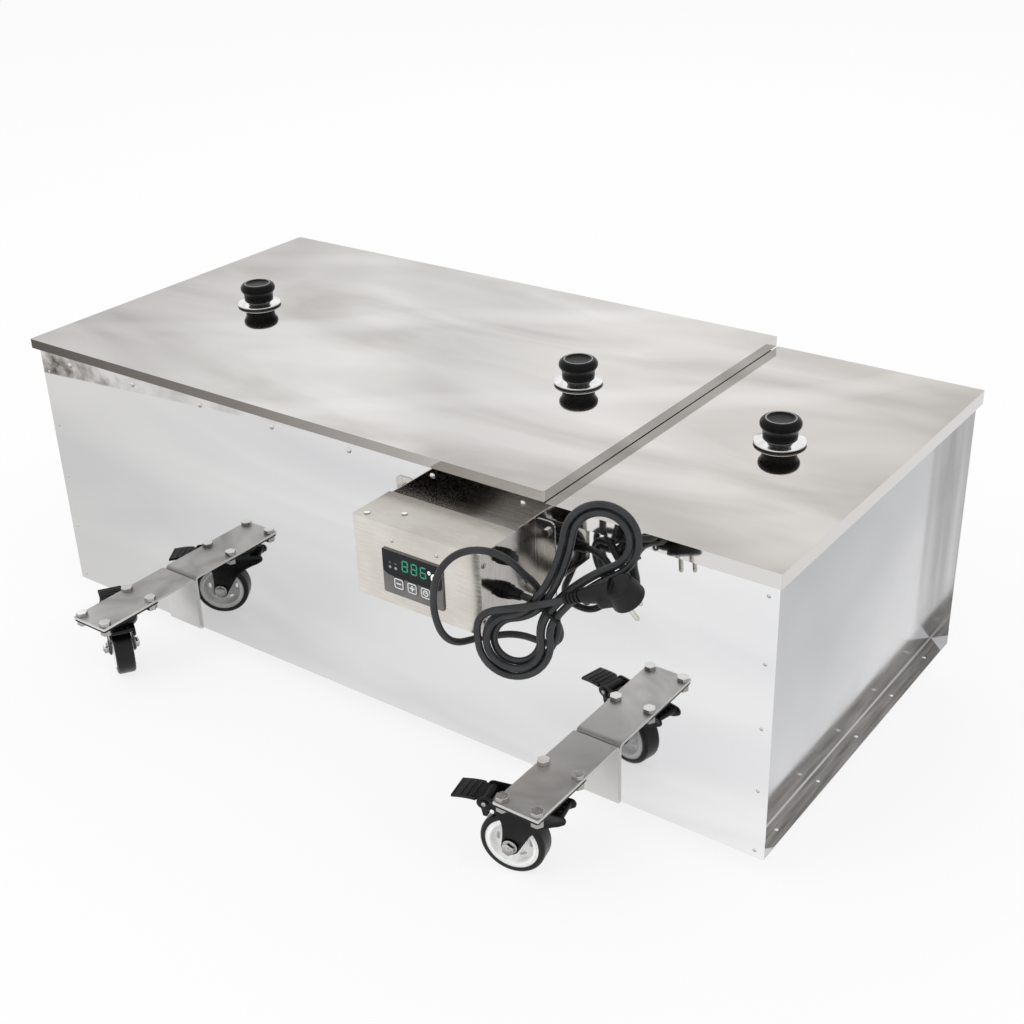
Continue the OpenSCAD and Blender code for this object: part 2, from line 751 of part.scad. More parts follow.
// Two glands on the right bracket plate: the upper one closed, the lower one with the lead's relief
module gland(relief_l) {
    rotate([0, 90, 0]) {
        cylinder(d = 20, h = gland_hex_l, $fn = 6);
        translate([0, 0, gland_hex_l]) cylinder(d = 18, h = gland_nut_l, $fn = 6);
        translate([0, 0, gland_hex_l + gland_nut_l]) cylinder(d1 = 14, d2 = lead_d + 3, h = relief_l);
    }
}

module cable_glands() {
    color([0.1, 0.1, 0.1]) placed() {
        translate([gland_x, gland_ys[0], gland_zs[0]]) gland(5);
        translate([gland_x, gland_ys[1], gland_zs[1]]) gland(gland_relief_l);
    }
}

// Curve through points with rings swept along it, as one closed tube
function bezier_step(p, t) = let (u = 1 - t)
    u * u * u * p[0] + 3 * u * u * t * p[1] + 3 * u * t * t * p[2] + t * t * t * p[3];
function leg(pts, i) = norm(pts[i + 1] - pts[i]);
function heading(pts, i) = unit(
    i == 0 ? pts[1] - pts[0] :
    i == len(pts) - 1 ? pts[i] - pts[i - 1] :
    unit(pts[i] - pts[i - 1]) * leg(pts, i) + unit(pts[i + 1] - pts[i]) * leg(pts, i - 1));
function curve(pts, steps) = [
    for (i = [0 : len(pts) - 2], j = [0 : steps - 1])
        bezier_step([pts[i], pts[i] + heading(pts, i) * leg(pts, i) / 3,
            pts[i + 1] - heading(pts, i + 1) * leg(pts, i) / 3, pts[i + 1]], j / steps),
    pts[len(pts) - 1]
];
function unit(v) = v / norm(v);
function carried(prev, dir) = unit(prev - (prev * dir) * dir);
function sides_along(dirs, first) = [
    for (i = 0, n = carried(first, dirs[0]); i < len(dirs);
        i = i + 1, n = i < len(dirs) ? carried(n, dirs[i]) : n) n
];

module swept_tube(pts, r, sides) {
    last = len(pts) - 1;
    dirs = [for (i = [0 : last]) unit(pts[min(i + 1, last)] - pts[max(i - 1, 0)])];
    norms = sides_along(dirs, abs(dirs[0][2]) < 0.9 ? [0, 0, 1] : [1, 0, 0]);
    rings = [for (i = [0 : last], k = [0 : sides - 1]) let (a = 360 * k / sides)
        pts[i] + r * (cos(a) * norms[i] + sin(a) * cross(dirs[i], norms[i]))];
    walls = [for (i = [0 : last - 1], k = [0 : sides - 1]) let (a = i * sides + k,
        b = i * sides + (k + 1) % sides) each [[a, b + sides, b], [a, a + sides, b + sides]]];
    caps = [[for (k = [0 : sides - 1]) k], [for (k = [sides - 1 : -1 : 0]) last * sides + k]];
    polyhedron(concat(rings, [pts[0], pts[last]]), concat(walls,
        [for (k = [0 : sides - 1]) [len(rings), k, (k + 1) % sides]],
        [for (k = [0 : sides - 1]) [len(rings) + 1, last * sides + (k + 1) % sides, last * sides + k]]));
}

// The coil: each loop is six arcs, which widen as the strands spiral in and then out again;
// an arc holds its centre, radius, whether a wider strand adds to it, its angles and its rings
function fillet_r(r, dx) = (dx * dx + waist_half * waist_half - r * r) / (2 * (r - waist_half));
low_fillet = fillet_r(low_r, waist_x);
high_fillet = fillet_r(high_r, hank_l - waist_x);
low_turn = atan2(waist_half + low_fillet, waist_x);
high_turn = atan2(waist_half + high_fillet, hank_l - waist_x);
hank_arcs = [
    [[waist_x, waist_half + low_fillet], low_fillet, -1, 270, 180 + low_turn, 2],
    [[0, 0], low_r, 1, low_turn, 360 - low_turn, 8],
    [[waist_x, -waist_half - low_fillet], low_fillet, -1, 180 - low_turn, 90, 2],
    [[waist_x, -waist_half - high_fillet], high_fillet, -1, 90, high_turn, 2],
    [[hank_l, 0], high_r, 1, high_turn - 180, 180 - high_turn, 8],
    [[waist_x, waist_half + high_fillet], high_fillet, -1, 360 - high_turn, 270, 2]
];
function arc_len(i) = hank_arcs[i][1] * abs(hank_arcs[i][4] - hank_arcs[i][3]);
function len_to(i) = i == 0 ? 0 : len_to(i - 1) + arc_len(i - 1);
function share(i) = len_to(i) / len_to(6);
climb_at = 1 + share(3);

function strand(turn, i, f) = let (
    a = hank_arcs[i],
    t = turn + share(i) + (share(i + 1) - share(i)) * f,
    r = a[1] + a[2] * strand_step * abs(t - climb_at),
    g = a[3] + (a[4] - a[3]) * f,
    u = min(max((t - climb_at) / climb_share + 0.5, 0), 1)
) [a[0][0] + r * cos(g), -a[0][1] - r * sin(g), layer_step * (3 * u * u - 2 * u * u * u - 0.5)];

// The first and the last strand leave the lower fold straight
first_f = 0.16;
last_f = 0.68;
first_p = strand(0, 1, first_f);
last_p = strand(3, 1, last_f);
first_dir = unit(first_p - strand(0, 1, first_f + 0.001));
last_dir = unit(last_p - strand(3, 1, last_f - 0.001));
hank_points = concat(
    [first_p + lead_d * first_dir, first_p],
    [for (turn = [0 : 3], i = [0 : 5], j = [0 : hank_arcs[i][5] - 1])
        let (f = j / hank_arcs[i][5], at = 6 * turn + i + f)
        if (at > 1.03 + first_f && at < 18.97 + last_f) strand(turn, i, f)],
    [last_p, last_p + lead_d * last_dir]
);

function turned(p, a) = let (
    q = [p[0], p[1] * cos(a[0]) - p[2] * sin(a[0]), p[1] * sin(a[0]) + p[2] * cos(a[0])],
    s = [q[0] * cos(a[1]) + q[2] * sin(a[1]), q[1], q[2] * cos(a[1]) - q[0] * sin(a[1])]
) [s[0] * cos(a[2]) - s[1] * sin(a[2]), s[0] * sin(a[2]) + s[1] * cos(a[2]), s[2]];
function on_hank(p) = hank_low + turned(p, hank_turn);

module along_hank() {
    translate(hank_low) rotate(hank_turn) children();
}

// Least space between two strands, measured between the points and the legs of the coil
function leg_gap(p, a, b) = let (d = b - a, t = min(max((p - a) * d / (d * d), 0), 1))
    norm(a + t * d - p);
function least_gap(pts) = min([
    for (i = [0 : len(pts) - 2], h = [0, 0.5], j = [0 : len(pts) - 2])
        if (abs(i - j) > 4) leg_gap(pts[i] + h * (pts[i + 1] - pts[i]), pts[j], pts[j + 1])
]) - lead_d;
echo(str("Least gap between the coil's strands: ", least_gap(hank_points)));

// The lead's ring from its gland to the coil, and its tail from the coil to the plug
module mains_lead() {
    coil_start = hank_points[0];
    coil_end = hank_points[len(hank_points) - 1];
    to_coil = concat([lead_start, lead_start + [5, 0, 0]], ring_points,
        [on_hank(coil_start + 5 * first_dir), on_hank(coil_start)]);
    to_plug = concat([on_hank(coil_end), on_hank(coil_end + 4.5 * last_dir)], tail_points,
        [plug_at - turned([lead_d, 0, 0], plug_turn), plug_at]);
    color([0.1, 0.1, 0.1]) {
        swept_tube(curve(to_coil, 2), lead_r, 8);
        swept_tube(curve(to_plug, 2), lead_r, 8);
    }
}

module lead_hank() {
    color([0.1, 0.1, 0.1]) along_hank() swept_tube(hank_points, lead_r, 6);
}

// Thin band round the strands at the waist
tie_t = 0.8;
module hank_tie() {
    y0 = -waist_half - strand_step * (3 - climb_at) - lead_r;
    y1 = waist_half + strand_step + lead_r;
    z1 = layer_step / 2 + lead_r;
    color("dimgray") along_hank() translate([waist_x, 0, 0]) difference() {
        translate([-1.5, y0 - tie_t, -z1 - tie_t]) cube([3, y1 - y0 + 2 * tie_t, 2 * (z1 + tie_t)]);
        translate([-1.5 - cut, y0, -z1]) cube([3 + 2 * cut, y1 - y0, 2 * z1]);
    }
}

// Angled mains plug: its own +X runs along the lead and its pins point down
head_x = 62;
head_d = 37;
head_low = -22;
module plug_body() {
    color([0.1, 0.1, 0.1]) translate(plug_at) rotate(plug_turn) {
        rotate([0, 90, 0]) {
            cylinder(d1 = lead_d + 2.4, d2 = 12, h = 26);
            for (x = [2 : 4.4 : 20]) translate([0, 0, x]) cylinder(d = 13.4, h = 2.4);
            translate([0, 0, 22]) cylinder(d1 = 14, d2 = 21, h = 24);
        }
        translate([15, 0, -10]) rotate([90, 0, 0]) translate([0, 0, -2]) difference() {
            cylinder(d = 9, h = 4, $fn = 24);
            translate([0, -1, -cut]) cylinder(d = 4, h = 4 + 2 * cut, $fn = 24);
        }
        translate([head_x, 0, 0]) {
            translate([0, 0, head_low]) cylinder(d1 = head_d - 2, d2 = head_d, h = 2);
            translate([0, 0, head_low + 2]) cylinder(d = head_d, h = 16);
            translate([0, 0, head_low + 18]) cylinder(d1 = head_d, d2 = head_d - 12, h = 7);
            translate([0, 0, head_low + 25]) cylinder(d1 = head_d - 14, d2 = head_d - 18, h = 1.6);
        }
        hull() {
            translate([40, -9, -12]) cube([1, 18, 20]);
            translate([head_x - 8, -14, head_low + 4]) cube([1, 28, 18]);
        }
    }
}

module plug_pins() {
    color("silver") translate(plug_at) rotate(plug_turn)
        for (y = [-9.5, 9.5]) translate([head_x, y, head_low - 19]) {
            cylinder(d1 = 3, d2 = 4.8, h = 2);
            translate([0, 0, 2]) cylinder(d = 4.8, h = 17);
        }
}

// Cradle strap: one bent plate, out at the front, down, under the casing, and up and out at the back
strap_bend = 3;
function cradle_side(top) = let (t = strap_t, c = [-t - strap_bend, top - t - strap_bend]) concat(
    arc([0, t], t, 270, 180, 4),
    arc(c, strap_bend, 0, 90, 3),
    [[-strap_reach, top - t], [-strap_reach, top]],
    arc(c, strap_bend + t, 90, 0, 5),
    [[0, t]]
);
function across(pts) = [for (i = [len(pts) - 1 : -1 : 0]) [body_w - pts[i][0], pts[i][1]]];

module cradle(x) {
    top = strap_top - (casing_z - strap_t);
    side = cradle_side(top);
    color("darkgray") placed() translate([x - strap_w / 2, 0, casing_z - strap_t]) difference() {
        rotate([90, 0, 90]) linear_extrude(strap_w) polygon(concat(side, across(side)));
        for (y = [-caster_out, body_w + caster_out])
            bolt_places([strap_w / 2, y, top - strap_t - cut]) cylinder(d = bolt_d + 0.4, h = strap_t + 2 * cut);
    }
}

bolt_d = 8;
module bolt_places(at) {
    for (dx = [-1, 1], dy = [-1, 1]) translate(at + [dx * bolt_dx / 2, dy * bolt_dy / 2, 0]) children();
}

module left_cradle() { cradle(cradle_xs[0]); }
module right_cradle() { cradle(cradle_xs[1]); }

// Black top plates with their bearing cups and king pins
cup_d = 48;
module caster_top_plates() {
    l = bolt_dy + 2 * bolt_in;
    color([0.15, 0.15, 0.15]) placed() for (s = sites) translate([s[0], s[1], 0]) {
        difference() {
            translate([-strap_w / 2, -l / 2, plate_bottom]) rounded_plate([strap_w, l], 3, top_plate_t);
            bolt_places([0, 0, plate_bottom - cut]) cylinder(d = bolt_d + 0.4, h = top_plate_t + 2 * cut);
        }
        translate([0, 0, crown_z + crown_t + 5]) cylinder(d = cup_d, h = plate_bottom - crown_z - crown_t - 5);
        translate([0, 0, crown_z - rest_gap - 3]) cylinder(d = king_d + 7, h = 3);
        translate([0, 0, crown_z - rest_gap]) cylinder(d = king_d, h = crown_t + 5 + rest_gap);
    }
}

module caster_bolts() {
    color("silver") placed() for (s = sites) bolt_places([s[0], s[1], 0]) {
        translate([0, 0, strap_top]) cylinder(d = 15, h = 5.3, $fn = 6);
        translate([0, 0, plate_bottom - 8]) cylinder(d = bolt_d, h = strap_top - plate_bottom + 8);
        translate([0, 0, plate_bottom - 6.5]) cylinder(d = 15, h = 6.5, $fn = 6);
    }
}

module at_caster(i) {
    placed() translate([sites[i][0], sites[i][1], 0]) rotate([0, 0, sites[i][2]]) children();
}

// Outline of a fork cheek, seen from the side, with the wheel trailing towards +X
function arc(c, r, a0, a1, n) = [for (i = [0 : n]) let (a = a0 + (a1 - a0) * i / n)
    [c[0] + r * cos(a), c[1] + r * sin(a)]];
function bend(p0, p1, p2, n) = [for (i = [0 : n]) let (t = i / n, u = 1 - t)
    u * u * p0 + 2 * u * t * p1 + t * t * p2];
cheek_top = crown_z + crown_t;
cheek_outline = concat(
    arc([-28, cheek_top - 6], 6, 90, 215, 5),
    bend([-26, cheek_top - 14], [-4, cheek_top - 22], [8, wheel_r + 18], 5),
    arc([trail, wheel_r], 10.5, 200, 355, 7),
    bend([trail + 9, wheel_r + 8], [trail + 6, wheel_r + 36], [trail + 18, wheel_r + 40], 6),
    arc([pedal_x + 2, pedal_z], 7, -70, 90, 5)
);

module cheek() {
    rotate([90, 0, 0]) linear_extrude(cheek_t) difference() {
        polygon(cheek_outline);
        translate([-28, cheek_top - 6]) circle(2);
    }
}

module fork(i) {
    span = 2 * (cheek_in + cheek_t);
    color([0.12, 0.12, 0.12]) at_caster(i) {
        difference() {
            union() {
                for (y = [-cheek_in, cheek_in + cheek_t]) translate([0, y, 0]) cheek();
                translate([0, 0, crown_z]) cylinder(d = 46, h = crown_t);
                box_at([-28, -cheek_in, crown_z], [28, 2 * cheek_in, crown_t]);
                box_at([0, -cheek_in, crown_z], [34, 2 * cheek_in, crown_t]);
                translate([0, 0, crown_z + crown_t]) difference() {
                    cylinder(d = 46, h = 4.6);
                    translate([0, 0, -cut]) cylinder(d = 34, h = 8);
                }
            }
            translate([0, 0, crown_z - cut]) cylinder(d = king_d + 2 * run_gap, h = crown_t + 8);
        }
        translate([trail, -span / 2 - 2, wheel_r]) tube_y(axle_d, span + 4);
        translate([trail, -span / 2 - 5, wheel_r]) rotate([-90, 0, 0]) cylinder(d = 15, h = 5, $fn = 6);
        translate([trail, span / 2, wheel_r]) rotate([-90, 0, 0]) cylinder(d = 15, h = 6.5, $fn = 6);
        translate([pedal_x, -span / 2 - 1, pedal_z]) tube_y(pedal_pin_d, span + 2);
    }
}

// Wheel centre: hub, dished web with slots, and a rim that the tyre is moulded on
rim_d = wheel_d - 13;
module wheel(i) {
    hub_w = 2 * cheek_in - 1;
    color("white") at_caster(i) translate([trail, 0, wheel_r]) rotate([-90, 0, 0]) difference() {
        rotate_extrude() difference() {
            union() {
                translate([0, -hub_w / 2]) square([9, hub_w]);
                translate([0, -3]) square([rim_d / 2 - 1, 6]);
                translate([rim_d / 2 - 6, -tyre_w / 2 + 1]) square([6, tyre_w - 2]);
            }
            translate([0, -hub_w]) square([axle_d / 2 + run_gap, 2 * hub_w]);
        }
        for (a = [0 : 60 : 300]) rotate([0, 0, a]) translate([17, 0, -5]) {
            translate([0, -3, 0]) cube([4, 6, 10]);
            translate([2, -3, 0]) cylinder(d = 4, h = 10);
            translate([2, 3, 0]) cylinder(d = 4, h = 10);
        }
    }
}

module tyre(i) {
    r = 4;
    color([0.13, 0.13, 0.13]) at_caster(i) translate([trail, 0, wheel_r]) rotate([-90, 0, 0])
        rotate_extrude() difference() {
            union() {
                translate([0, -tyre_w / 2]) square([wheel_r - r, tyre_w]);
                translate([0, -tyre_w / 2 + r]) square([wheel_r, tyre_w - 2 * r]);
                for (y = [-1, 1]) translate([wheel_r - r, y * (tyre_w / 2 - r)]) circle(r);
            }
            translate([0, -tyre_w]) square([rim_d / 2, 2 * tyre_w]);
        }
}

// Brake pedal: a hub on the cross pin, a shoe over the tyre and a wide bent tread
pedal_reach = 97;
module pedal(i) {
    hub_w = 2 * cheek_in - 1;
    tread = concat(
        bend([6, 4], [18, 6], [pedal_reach - pedal_x, 1], 6),
        bend([pedal_reach - pedal_x, -2], [18, 2.5], [6, 0], 6)
    );
    color([0.1, 0.1, 0.1]) at_caster(i) translate([pedal_x, 0, pedal_z]) {
        difference() {
            union() {
                translate([0, -hub_w / 2, 0]) tube_y(11, hub_w);
                translate([0, hub_w / 2, 0]) rotate([90, 0, 0]) linear_extrude(hub_w)
                    polygon([[-5, 2], [8, 4.6], [9, 0], [5, -10], [3, -18.5], [-1.5, -18.5], [-4, -10]]);
                translate([0, 15.5, 0]) rotate([90, 0, 0]) linear_extrude(31) intersection() {
                    polygon(tread);
                    translate([10.5, -20]) square([60, 40]);
                }
                translate([0, hub_w / 2, 0]) rotate([90, 0, 0]) linear_extrude(hub_w) polygon(tread);
            }
            translate([0, -20, 0]) tube_y(pedal_pin_d + 2 * run_gap, 40);
        }
    }
}

module front_left_fork() { fork(0); }
module front_left_wheel() { wheel(0); }
module front_left_tyre() { tyre(0); }
module front_left_pedal() { pedal(0); }
module front_right_fork() { fork(1); }
module front_right_wheel() { wheel(1); }
module front_right_tyre() { tyre(1); }
module front_right_pedal() { pedal(1); }
module back_left_fork() { fork(2); }
module back_left_wheel() { wheel(2); }
module back_left_tyre() { tyre(2); }
module back_left_pedal() { pedal(2); }
module back_right_fork() { fork(3); }
module back_right_wheel() { wheel(3); }
module back_right_tyre() { tyre(3); }
module back_right_pedal() { pedal(3); }

front_panel();
back_panel();
floor_panel();
left_end_panel();
right_end_panel();
basin();
partition();
cross_rail();
insulation();
heating_element();
temperature_probe();
casing_rivets();
large_lid();
large_lid_knobs();
large_lid_rosettes();
small_lid();
small_lid_knob();
small_lid_rosette();
fine_basket();
coarse_basket();
outlet_pipe();
valve_body();
valve_ball();
valve_lever();
box_housing();
box_brackets();
box_screws();
thermostat();
thermostat_front();
minus_button();
plus_button();
set_button();
cable_glands();
mains_lead();
lead_hank();
hank_tie();
plug_body();
plug_pins();
left_cradle();
right_cradle();
caster_top_plates();
caster_bolts();
front_left_fork();
front_left_wheel();
front_left_tyre();
front_left_pedal();
front_right_fork();
front_right_wheel();
front_right_tyre();
front_right_pedal();
back_left_fork();
back_left_wheel();
back_left_tyre();
back_left_pedal();
back_right_fork();
back_right_wheel();
back_right_tyre();
back_right_pedal();
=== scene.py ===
import json
import math

import bpy
from bpy.props import FloatProperty, FloatVectorProperty, PointerProperty
from mathutils import Matrix, Vector


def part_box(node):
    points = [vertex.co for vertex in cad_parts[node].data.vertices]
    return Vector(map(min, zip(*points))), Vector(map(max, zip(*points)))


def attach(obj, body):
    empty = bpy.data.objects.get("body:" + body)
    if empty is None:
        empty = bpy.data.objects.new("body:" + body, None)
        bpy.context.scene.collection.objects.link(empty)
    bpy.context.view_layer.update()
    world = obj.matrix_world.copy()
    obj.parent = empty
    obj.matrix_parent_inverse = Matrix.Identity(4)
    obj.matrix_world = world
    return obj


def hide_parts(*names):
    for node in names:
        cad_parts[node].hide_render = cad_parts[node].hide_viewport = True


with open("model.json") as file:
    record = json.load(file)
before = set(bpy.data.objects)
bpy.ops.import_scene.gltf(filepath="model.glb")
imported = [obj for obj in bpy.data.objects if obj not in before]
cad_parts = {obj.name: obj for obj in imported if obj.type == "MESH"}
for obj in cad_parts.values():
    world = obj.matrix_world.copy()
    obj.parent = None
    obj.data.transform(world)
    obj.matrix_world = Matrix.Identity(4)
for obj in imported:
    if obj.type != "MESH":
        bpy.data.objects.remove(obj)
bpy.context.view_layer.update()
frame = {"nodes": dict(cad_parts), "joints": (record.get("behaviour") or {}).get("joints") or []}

bl_info = {
    "name": "Honey strainer tank",
    "version": (1, 0, 0),
    "blender": (4, 5, 0),
    "location": "3D View > Sidebar > Strainer tank",
    "description": "Dresses a heated honey strainer tank on casters: steel, lead, controls and wheels",
    "category": "Object",
}

NODES = frame["nodes"]
JOINTS = {joint["name"]: joint for joint in frame["joints"]}
MM = 0.001
# Thickness of the end panels' sheet, in metres
PANEL_SHEET = 0.001
# Turns a piece made along Z to lie along Y
ALONG_Y = (math.pi / 2, 0, 0)


# Shared tools


def box_mm(node):
    """Lowest and highest corners of a CAD node, in millimetres."""
    return [[v / MM for v in corner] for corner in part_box(node)]


def deselect():
    """Leave edit mode and select nothing."""
    if bpy.context.object and bpy.context.object.mode != "OBJECT":
        bpy.ops.object.mode_set(mode="OBJECT")
    bpy.ops.object.select_all(action="DESELECT")


def make_active(obj):
    """Select one object alone, for the operators that follow."""
    deselect()
    obj.select_set(True)
    bpy.context.view_layer.objects.active = obj


def settle(obj, name, matrix=None):
    """Name a piece and bring its place, given in millimetres, into its mesh."""
    obj.name = name
    obj.data.name = name
    obj.data.transform(obj.matrix_basis)
    obj.matrix_basis = Matrix.Identity(4)
    if matrix is not None:
        obj.data.transform(matrix)
    obj.data.transform(Matrix.Scale(MM, 4))
    obj.data.update()
    return obj


def face_y(obj, at, side=-1):
    """Turn a piece made along Z to look to the front, or to the back with side 1, and put it in place."""
    obj.data.transform(Matrix.Translation(at) @ Matrix.Rotation(-side * math.pi / 2, 4, "X"))
    return obj


def from_points(name, points, faces):
    """A start mesh in millimetres, made active."""
    mesh = bpy.data.meshes.new(name)
    mesh.from_pydata([tuple(p) for p in points], [], faces)
    obj = bpy.data.objects.new(name, mesh)
    bpy.context.scene.collection.objects.link(obj)
    make_active(obj)
    return obj


def cylinder(radius, depth, at=(0, 0, 0), turn=(0, 0, 0), sides=32):
    """A round bar, along Z unless it is turned."""
    deselect()
    bpy.ops.mesh.primitive_cylinder_add(
        vertices=sides, radius=radius, depth=depth, location=at, rotation=turn)
    return bpy.context.object


def block(size, at=(0, 0, 0), turn=(0, 0, 0)):
    """A bar of three sizes round its middle."""
    deselect()
    bpy.ops.mesh.primitive_cube_add(size=1, location=at, rotation=turn)
    obj = bpy.context.object
    obj.data.transform(Matrix.Diagonal((*size, 1)))
    return obj


def join(objs):
    """Join pieces that each keep their place in their mesh."""
    for obj in objs:
        obj.data.transform(obj.matrix_basis)
        obj.matrix_basis = Matrix.Identity(4)
    make_active(objs[0])
    for obj in objs[1:]:
        obj.select_set(True)
    if len(objs) > 1:
        bpy.ops.object.join()
    return bpy.context.object


def copy_mesh(obj):
    """A copy of an object with its own mesh."""
    twin = obj.copy()
    twin.data = obj.data.copy()
    bpy.context.scene.collection.objects.link(twin)
    return twin


def apply_modifier(obj, kind, **settings):
    """Put a modifier on an object and apply it."""
    make_active(obj)
    modifier = obj.modifiers.new(kind.title(), kind)
    for key, value in settings.items():
        setattr(modifier, key, value)
    bpy.ops.object.modifier_apply(modifier=modifier.name)


def bevel_edges(obj, width, segments=2, angle=30):
    """Round the edges that are sharper than an angle in degrees."""
    apply_modifier(obj, "BEVEL", width=width, segments=segments, limit_method="ANGLE",
                   angle_limit=math.radians(angle), use_clamp_overlap=True)
    return obj


def smooth(obj, angle):
    """Shade smooth, except across edges sharper than an angle in degrees."""
    make_active(obj)
    bpy.ops.object.shade_smooth_by_angle(angle=math.radians(angle))
    return obj


def close_up(obj):
    """Merge doubles and turn all faces outwards."""
    make_active(obj)
    bpy.ops.object.mode_set(mode="EDIT")
    bpy.ops.mesh.select_all(action="SELECT")
    bpy.ops.mesh.remove_doubles(threshold=0.0005)
    bpy.ops.mesh.normals_make_consistent(inside=False)
    bpy.ops.object.mode_set(mode="OBJECT")
    return obj


def lathe(profile, steps=64):
    """Spin a profile of (radius, height) points about Z."""
    obj = from_points("lathe", [(r, 0, z) for r, z in profile], [])
    obj.data.edges.add(len(profile) - 1)
    for i, edge in enumerate(obj.data.edges):
        edge.vertices = (i, i + 1)
    bpy.ops.object.mode_set(mode="EDIT")
    bpy.ops.mesh.select_all(action="SELECT")
    bpy.ops.mesh.spin(steps=steps, angle=2 * math.pi, center=(0, 0, 0), axis=(0, 0, 1))
    bpy.ops.object.mode_set(mode="OBJECT")
    return close_up(obj)


def arc_points(cx, cz, r, a0, a1, n):
    """Points along an arc between two angles in degrees."""
    angles = [math.radians(a0 + (a1 - a0) * i / n) for i in range(n + 1)]
    return [(cx + r * math.cos(a), cz + r * math.sin(a)) for a in angles]


def thick_sheet(points, faces, thickness):
    """A flat outline given a thickness, half of it to either side."""
    obj = close_up(from_points("sheet", points, faces))
    apply_modifier(obj, "SOLIDIFY", thickness=thickness, offset=0)
    return obj


def softened(node, name, width, segments=2):
    """A merged copy of a CAD node with small rounded edges, which stands for it."""
    obj = bpy.data.objects.new(name, NODES[node].data.copy())
    obj.data.name = name
    bpy.context.scene.collection.objects.link(obj)
    make_active(obj)
    bpy.ops.object.mode_set(mode="EDIT")
    bpy.ops.mesh.select_all(action="SELECT")
    bpy.ops.mesh.remove_doubles(threshold=0.00001)
    bpy.ops.mesh.dissolve_limited(angle_limit=math.radians(1.5))
    bpy.ops.object.mode_set(mode="OBJECT")
    bevel_edges(obj, width * MM, segments)
    smooth(obj, 35)
    # Large flat faces keep their own normals, so that mirrors stay flat
    apply_modifier(obj, "WEIGHTED_NORMAL", mode="FACE_AREA", weight=100, keep_sharp=True)
    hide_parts(node)
    return obj


def dress(obj, body, paint):
    """Give a piece its finish and its body."""
    obj.data.materials.clear()
    obj.data.materials.append(finish(paint))
    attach(obj, body)
    return obj


def refinish(node, paint):
    """Give a CAD node's own mesh a finish."""
    mesh = NODES[node].data
    mesh.materials.clear()
    mesh.materials.append(finish(paint))


# Nodes of the finishes


def linear(colour):
    """A linear colour from an sRGB hex value, a grey level or a setting, which are linear already."""
    if isinstance(colour, float):
        return (colour, colour, colour, 1.0)
    if not isinstance(colour, str):
        return (*colour, 1.0)
    shares = [int(colour[i:i + 2], 16) / 255 for i in (0, 2, 4)]
    return (*(v / 12.92 if v <= 0.04045 else ((v + 0.055) / 1.055) ** 2.4 for v in shares), 1.0)


def per_metre(size_mm):
    """The scale at which a texture's pattern has a size that is given in millimetres."""
    return 1000 / size_mm


def fill(tree, node, inputs):
    """Put values, hex colours or links on a node's inputs."""
    for key, value in inputs.items():
        if isinstance(value, bpy.types.NodeSocket):
            tree.links.new(value, node.inputs[key])
        else:
            node.inputs[key].default_value = linear(value) if isinstance(value, str) else value


def add_node(tree, kind, inputs, out=0, stops=(), **settings):
    """Add a node with its settings, its colour stops and its inputs, and return one of its outputs."""
    node = tree.nodes.new("ShaderNode" + kind)
    for key, value in settings.items():
        setattr(node, key, value)
    if stops:
        elements = node.color_ramp.elements
        while len(elements) < len(stops):
            elements.new(0.5)
        for element, (place, colour) in zip(elements, stops):
            element.position = place
            element.color = linear(colour)
    fill(tree, node, inputs)
    return node.outputs[out] if node.outputs else None


# A Mix node that is set to colours has its share and its two colours on inputs 0, 6 and 7
OF_COLOURS = {"out": 2, "data_type": "RGBA"}


def turned_to(tree, axis):
    """How far a face is turned along an axis of the object: 1 fully, 0 aside, -1 away."""
    normal = add_node(tree, "TexCoord", {}, out="Normal")
    return add_node(tree, "VectorMath", {0: normal, 1: axis}, out="Value", operation="DOT_PRODUCT")


def on_faces(tree, axis, tone, other):
    """A tone that gives way to another on faces turned along an axis of the object."""
    share = add_node(tree, "MapRange", {"Value": turned_to(tree, axis), "From Min": 0.55, "From Max": 0.8})
    return add_node(tree, "Mix", {0: share, 6: tone, 7: other}, **OF_COLOURS)


def shaded(tree, tone, along, low, high, stops):
    """A tone under a slow gradient between two places in metres, as a dim room leaves on a mirror."""
    share = add_node(tree, "MapRange", {"Value": along, "From Min": low, "From Max": high})
    shade = add_node(tree, "ValToRGB", {"Fac": share}, stops=stops)
    return add_node(tree, "Mix", {0: 1.0, 6: tone, 7: shade}, blend_type="MULTIPLY", **OF_COLOURS)


# Finishes: each gives the inputs of its material's shader


def rolled_steel(tree, coords, pale, dark, rough, stretch, streak_mm=260, turn=0.0, wave=0.0005):
    """Bright-annealed stainless sheet: nearly a mirror, with faint milky rolling streaks and slow waves."""
    along = add_node(tree, "Mapping", {"Vector": coords, "Rotation": (0, 0, turn), "Scale": stretch})
    streaks = add_node(tree, "TexNoise", {
        "Vector": along, "Scale": per_metre(streak_mm), "Detail": 3.0, "Roughness": 0.45, "Distortion": 1.2})
    # Wiping marks scatter the light a little more, and thin sheet lies in slow waves
    wipes = add_node(tree, "TexNoise", {"Vector": coords, "Scale": per_metre(90.909), "Detail": 5.0})
    waves = add_node(tree, "TexNoise", {"Vector": coords, "Scale": per_metre(200), "Detail": 1.0})
    return {
        "Metallic": 1.0,
        "Base Color": add_node(tree, "ValToRGB", {"Fac": streaks}, stops=[(0.34, dark), (0.62, pale)]),
        "Roughness": add_node(tree, "ValToRGB", {"Fac": wipes}, stops=[(0.35, rough), (0.7, rough * 2.1)]),
        "Normal": add_node(tree, "Bump", {"Height": waves, "Strength": 0.3, "Distance": wave}),
    }


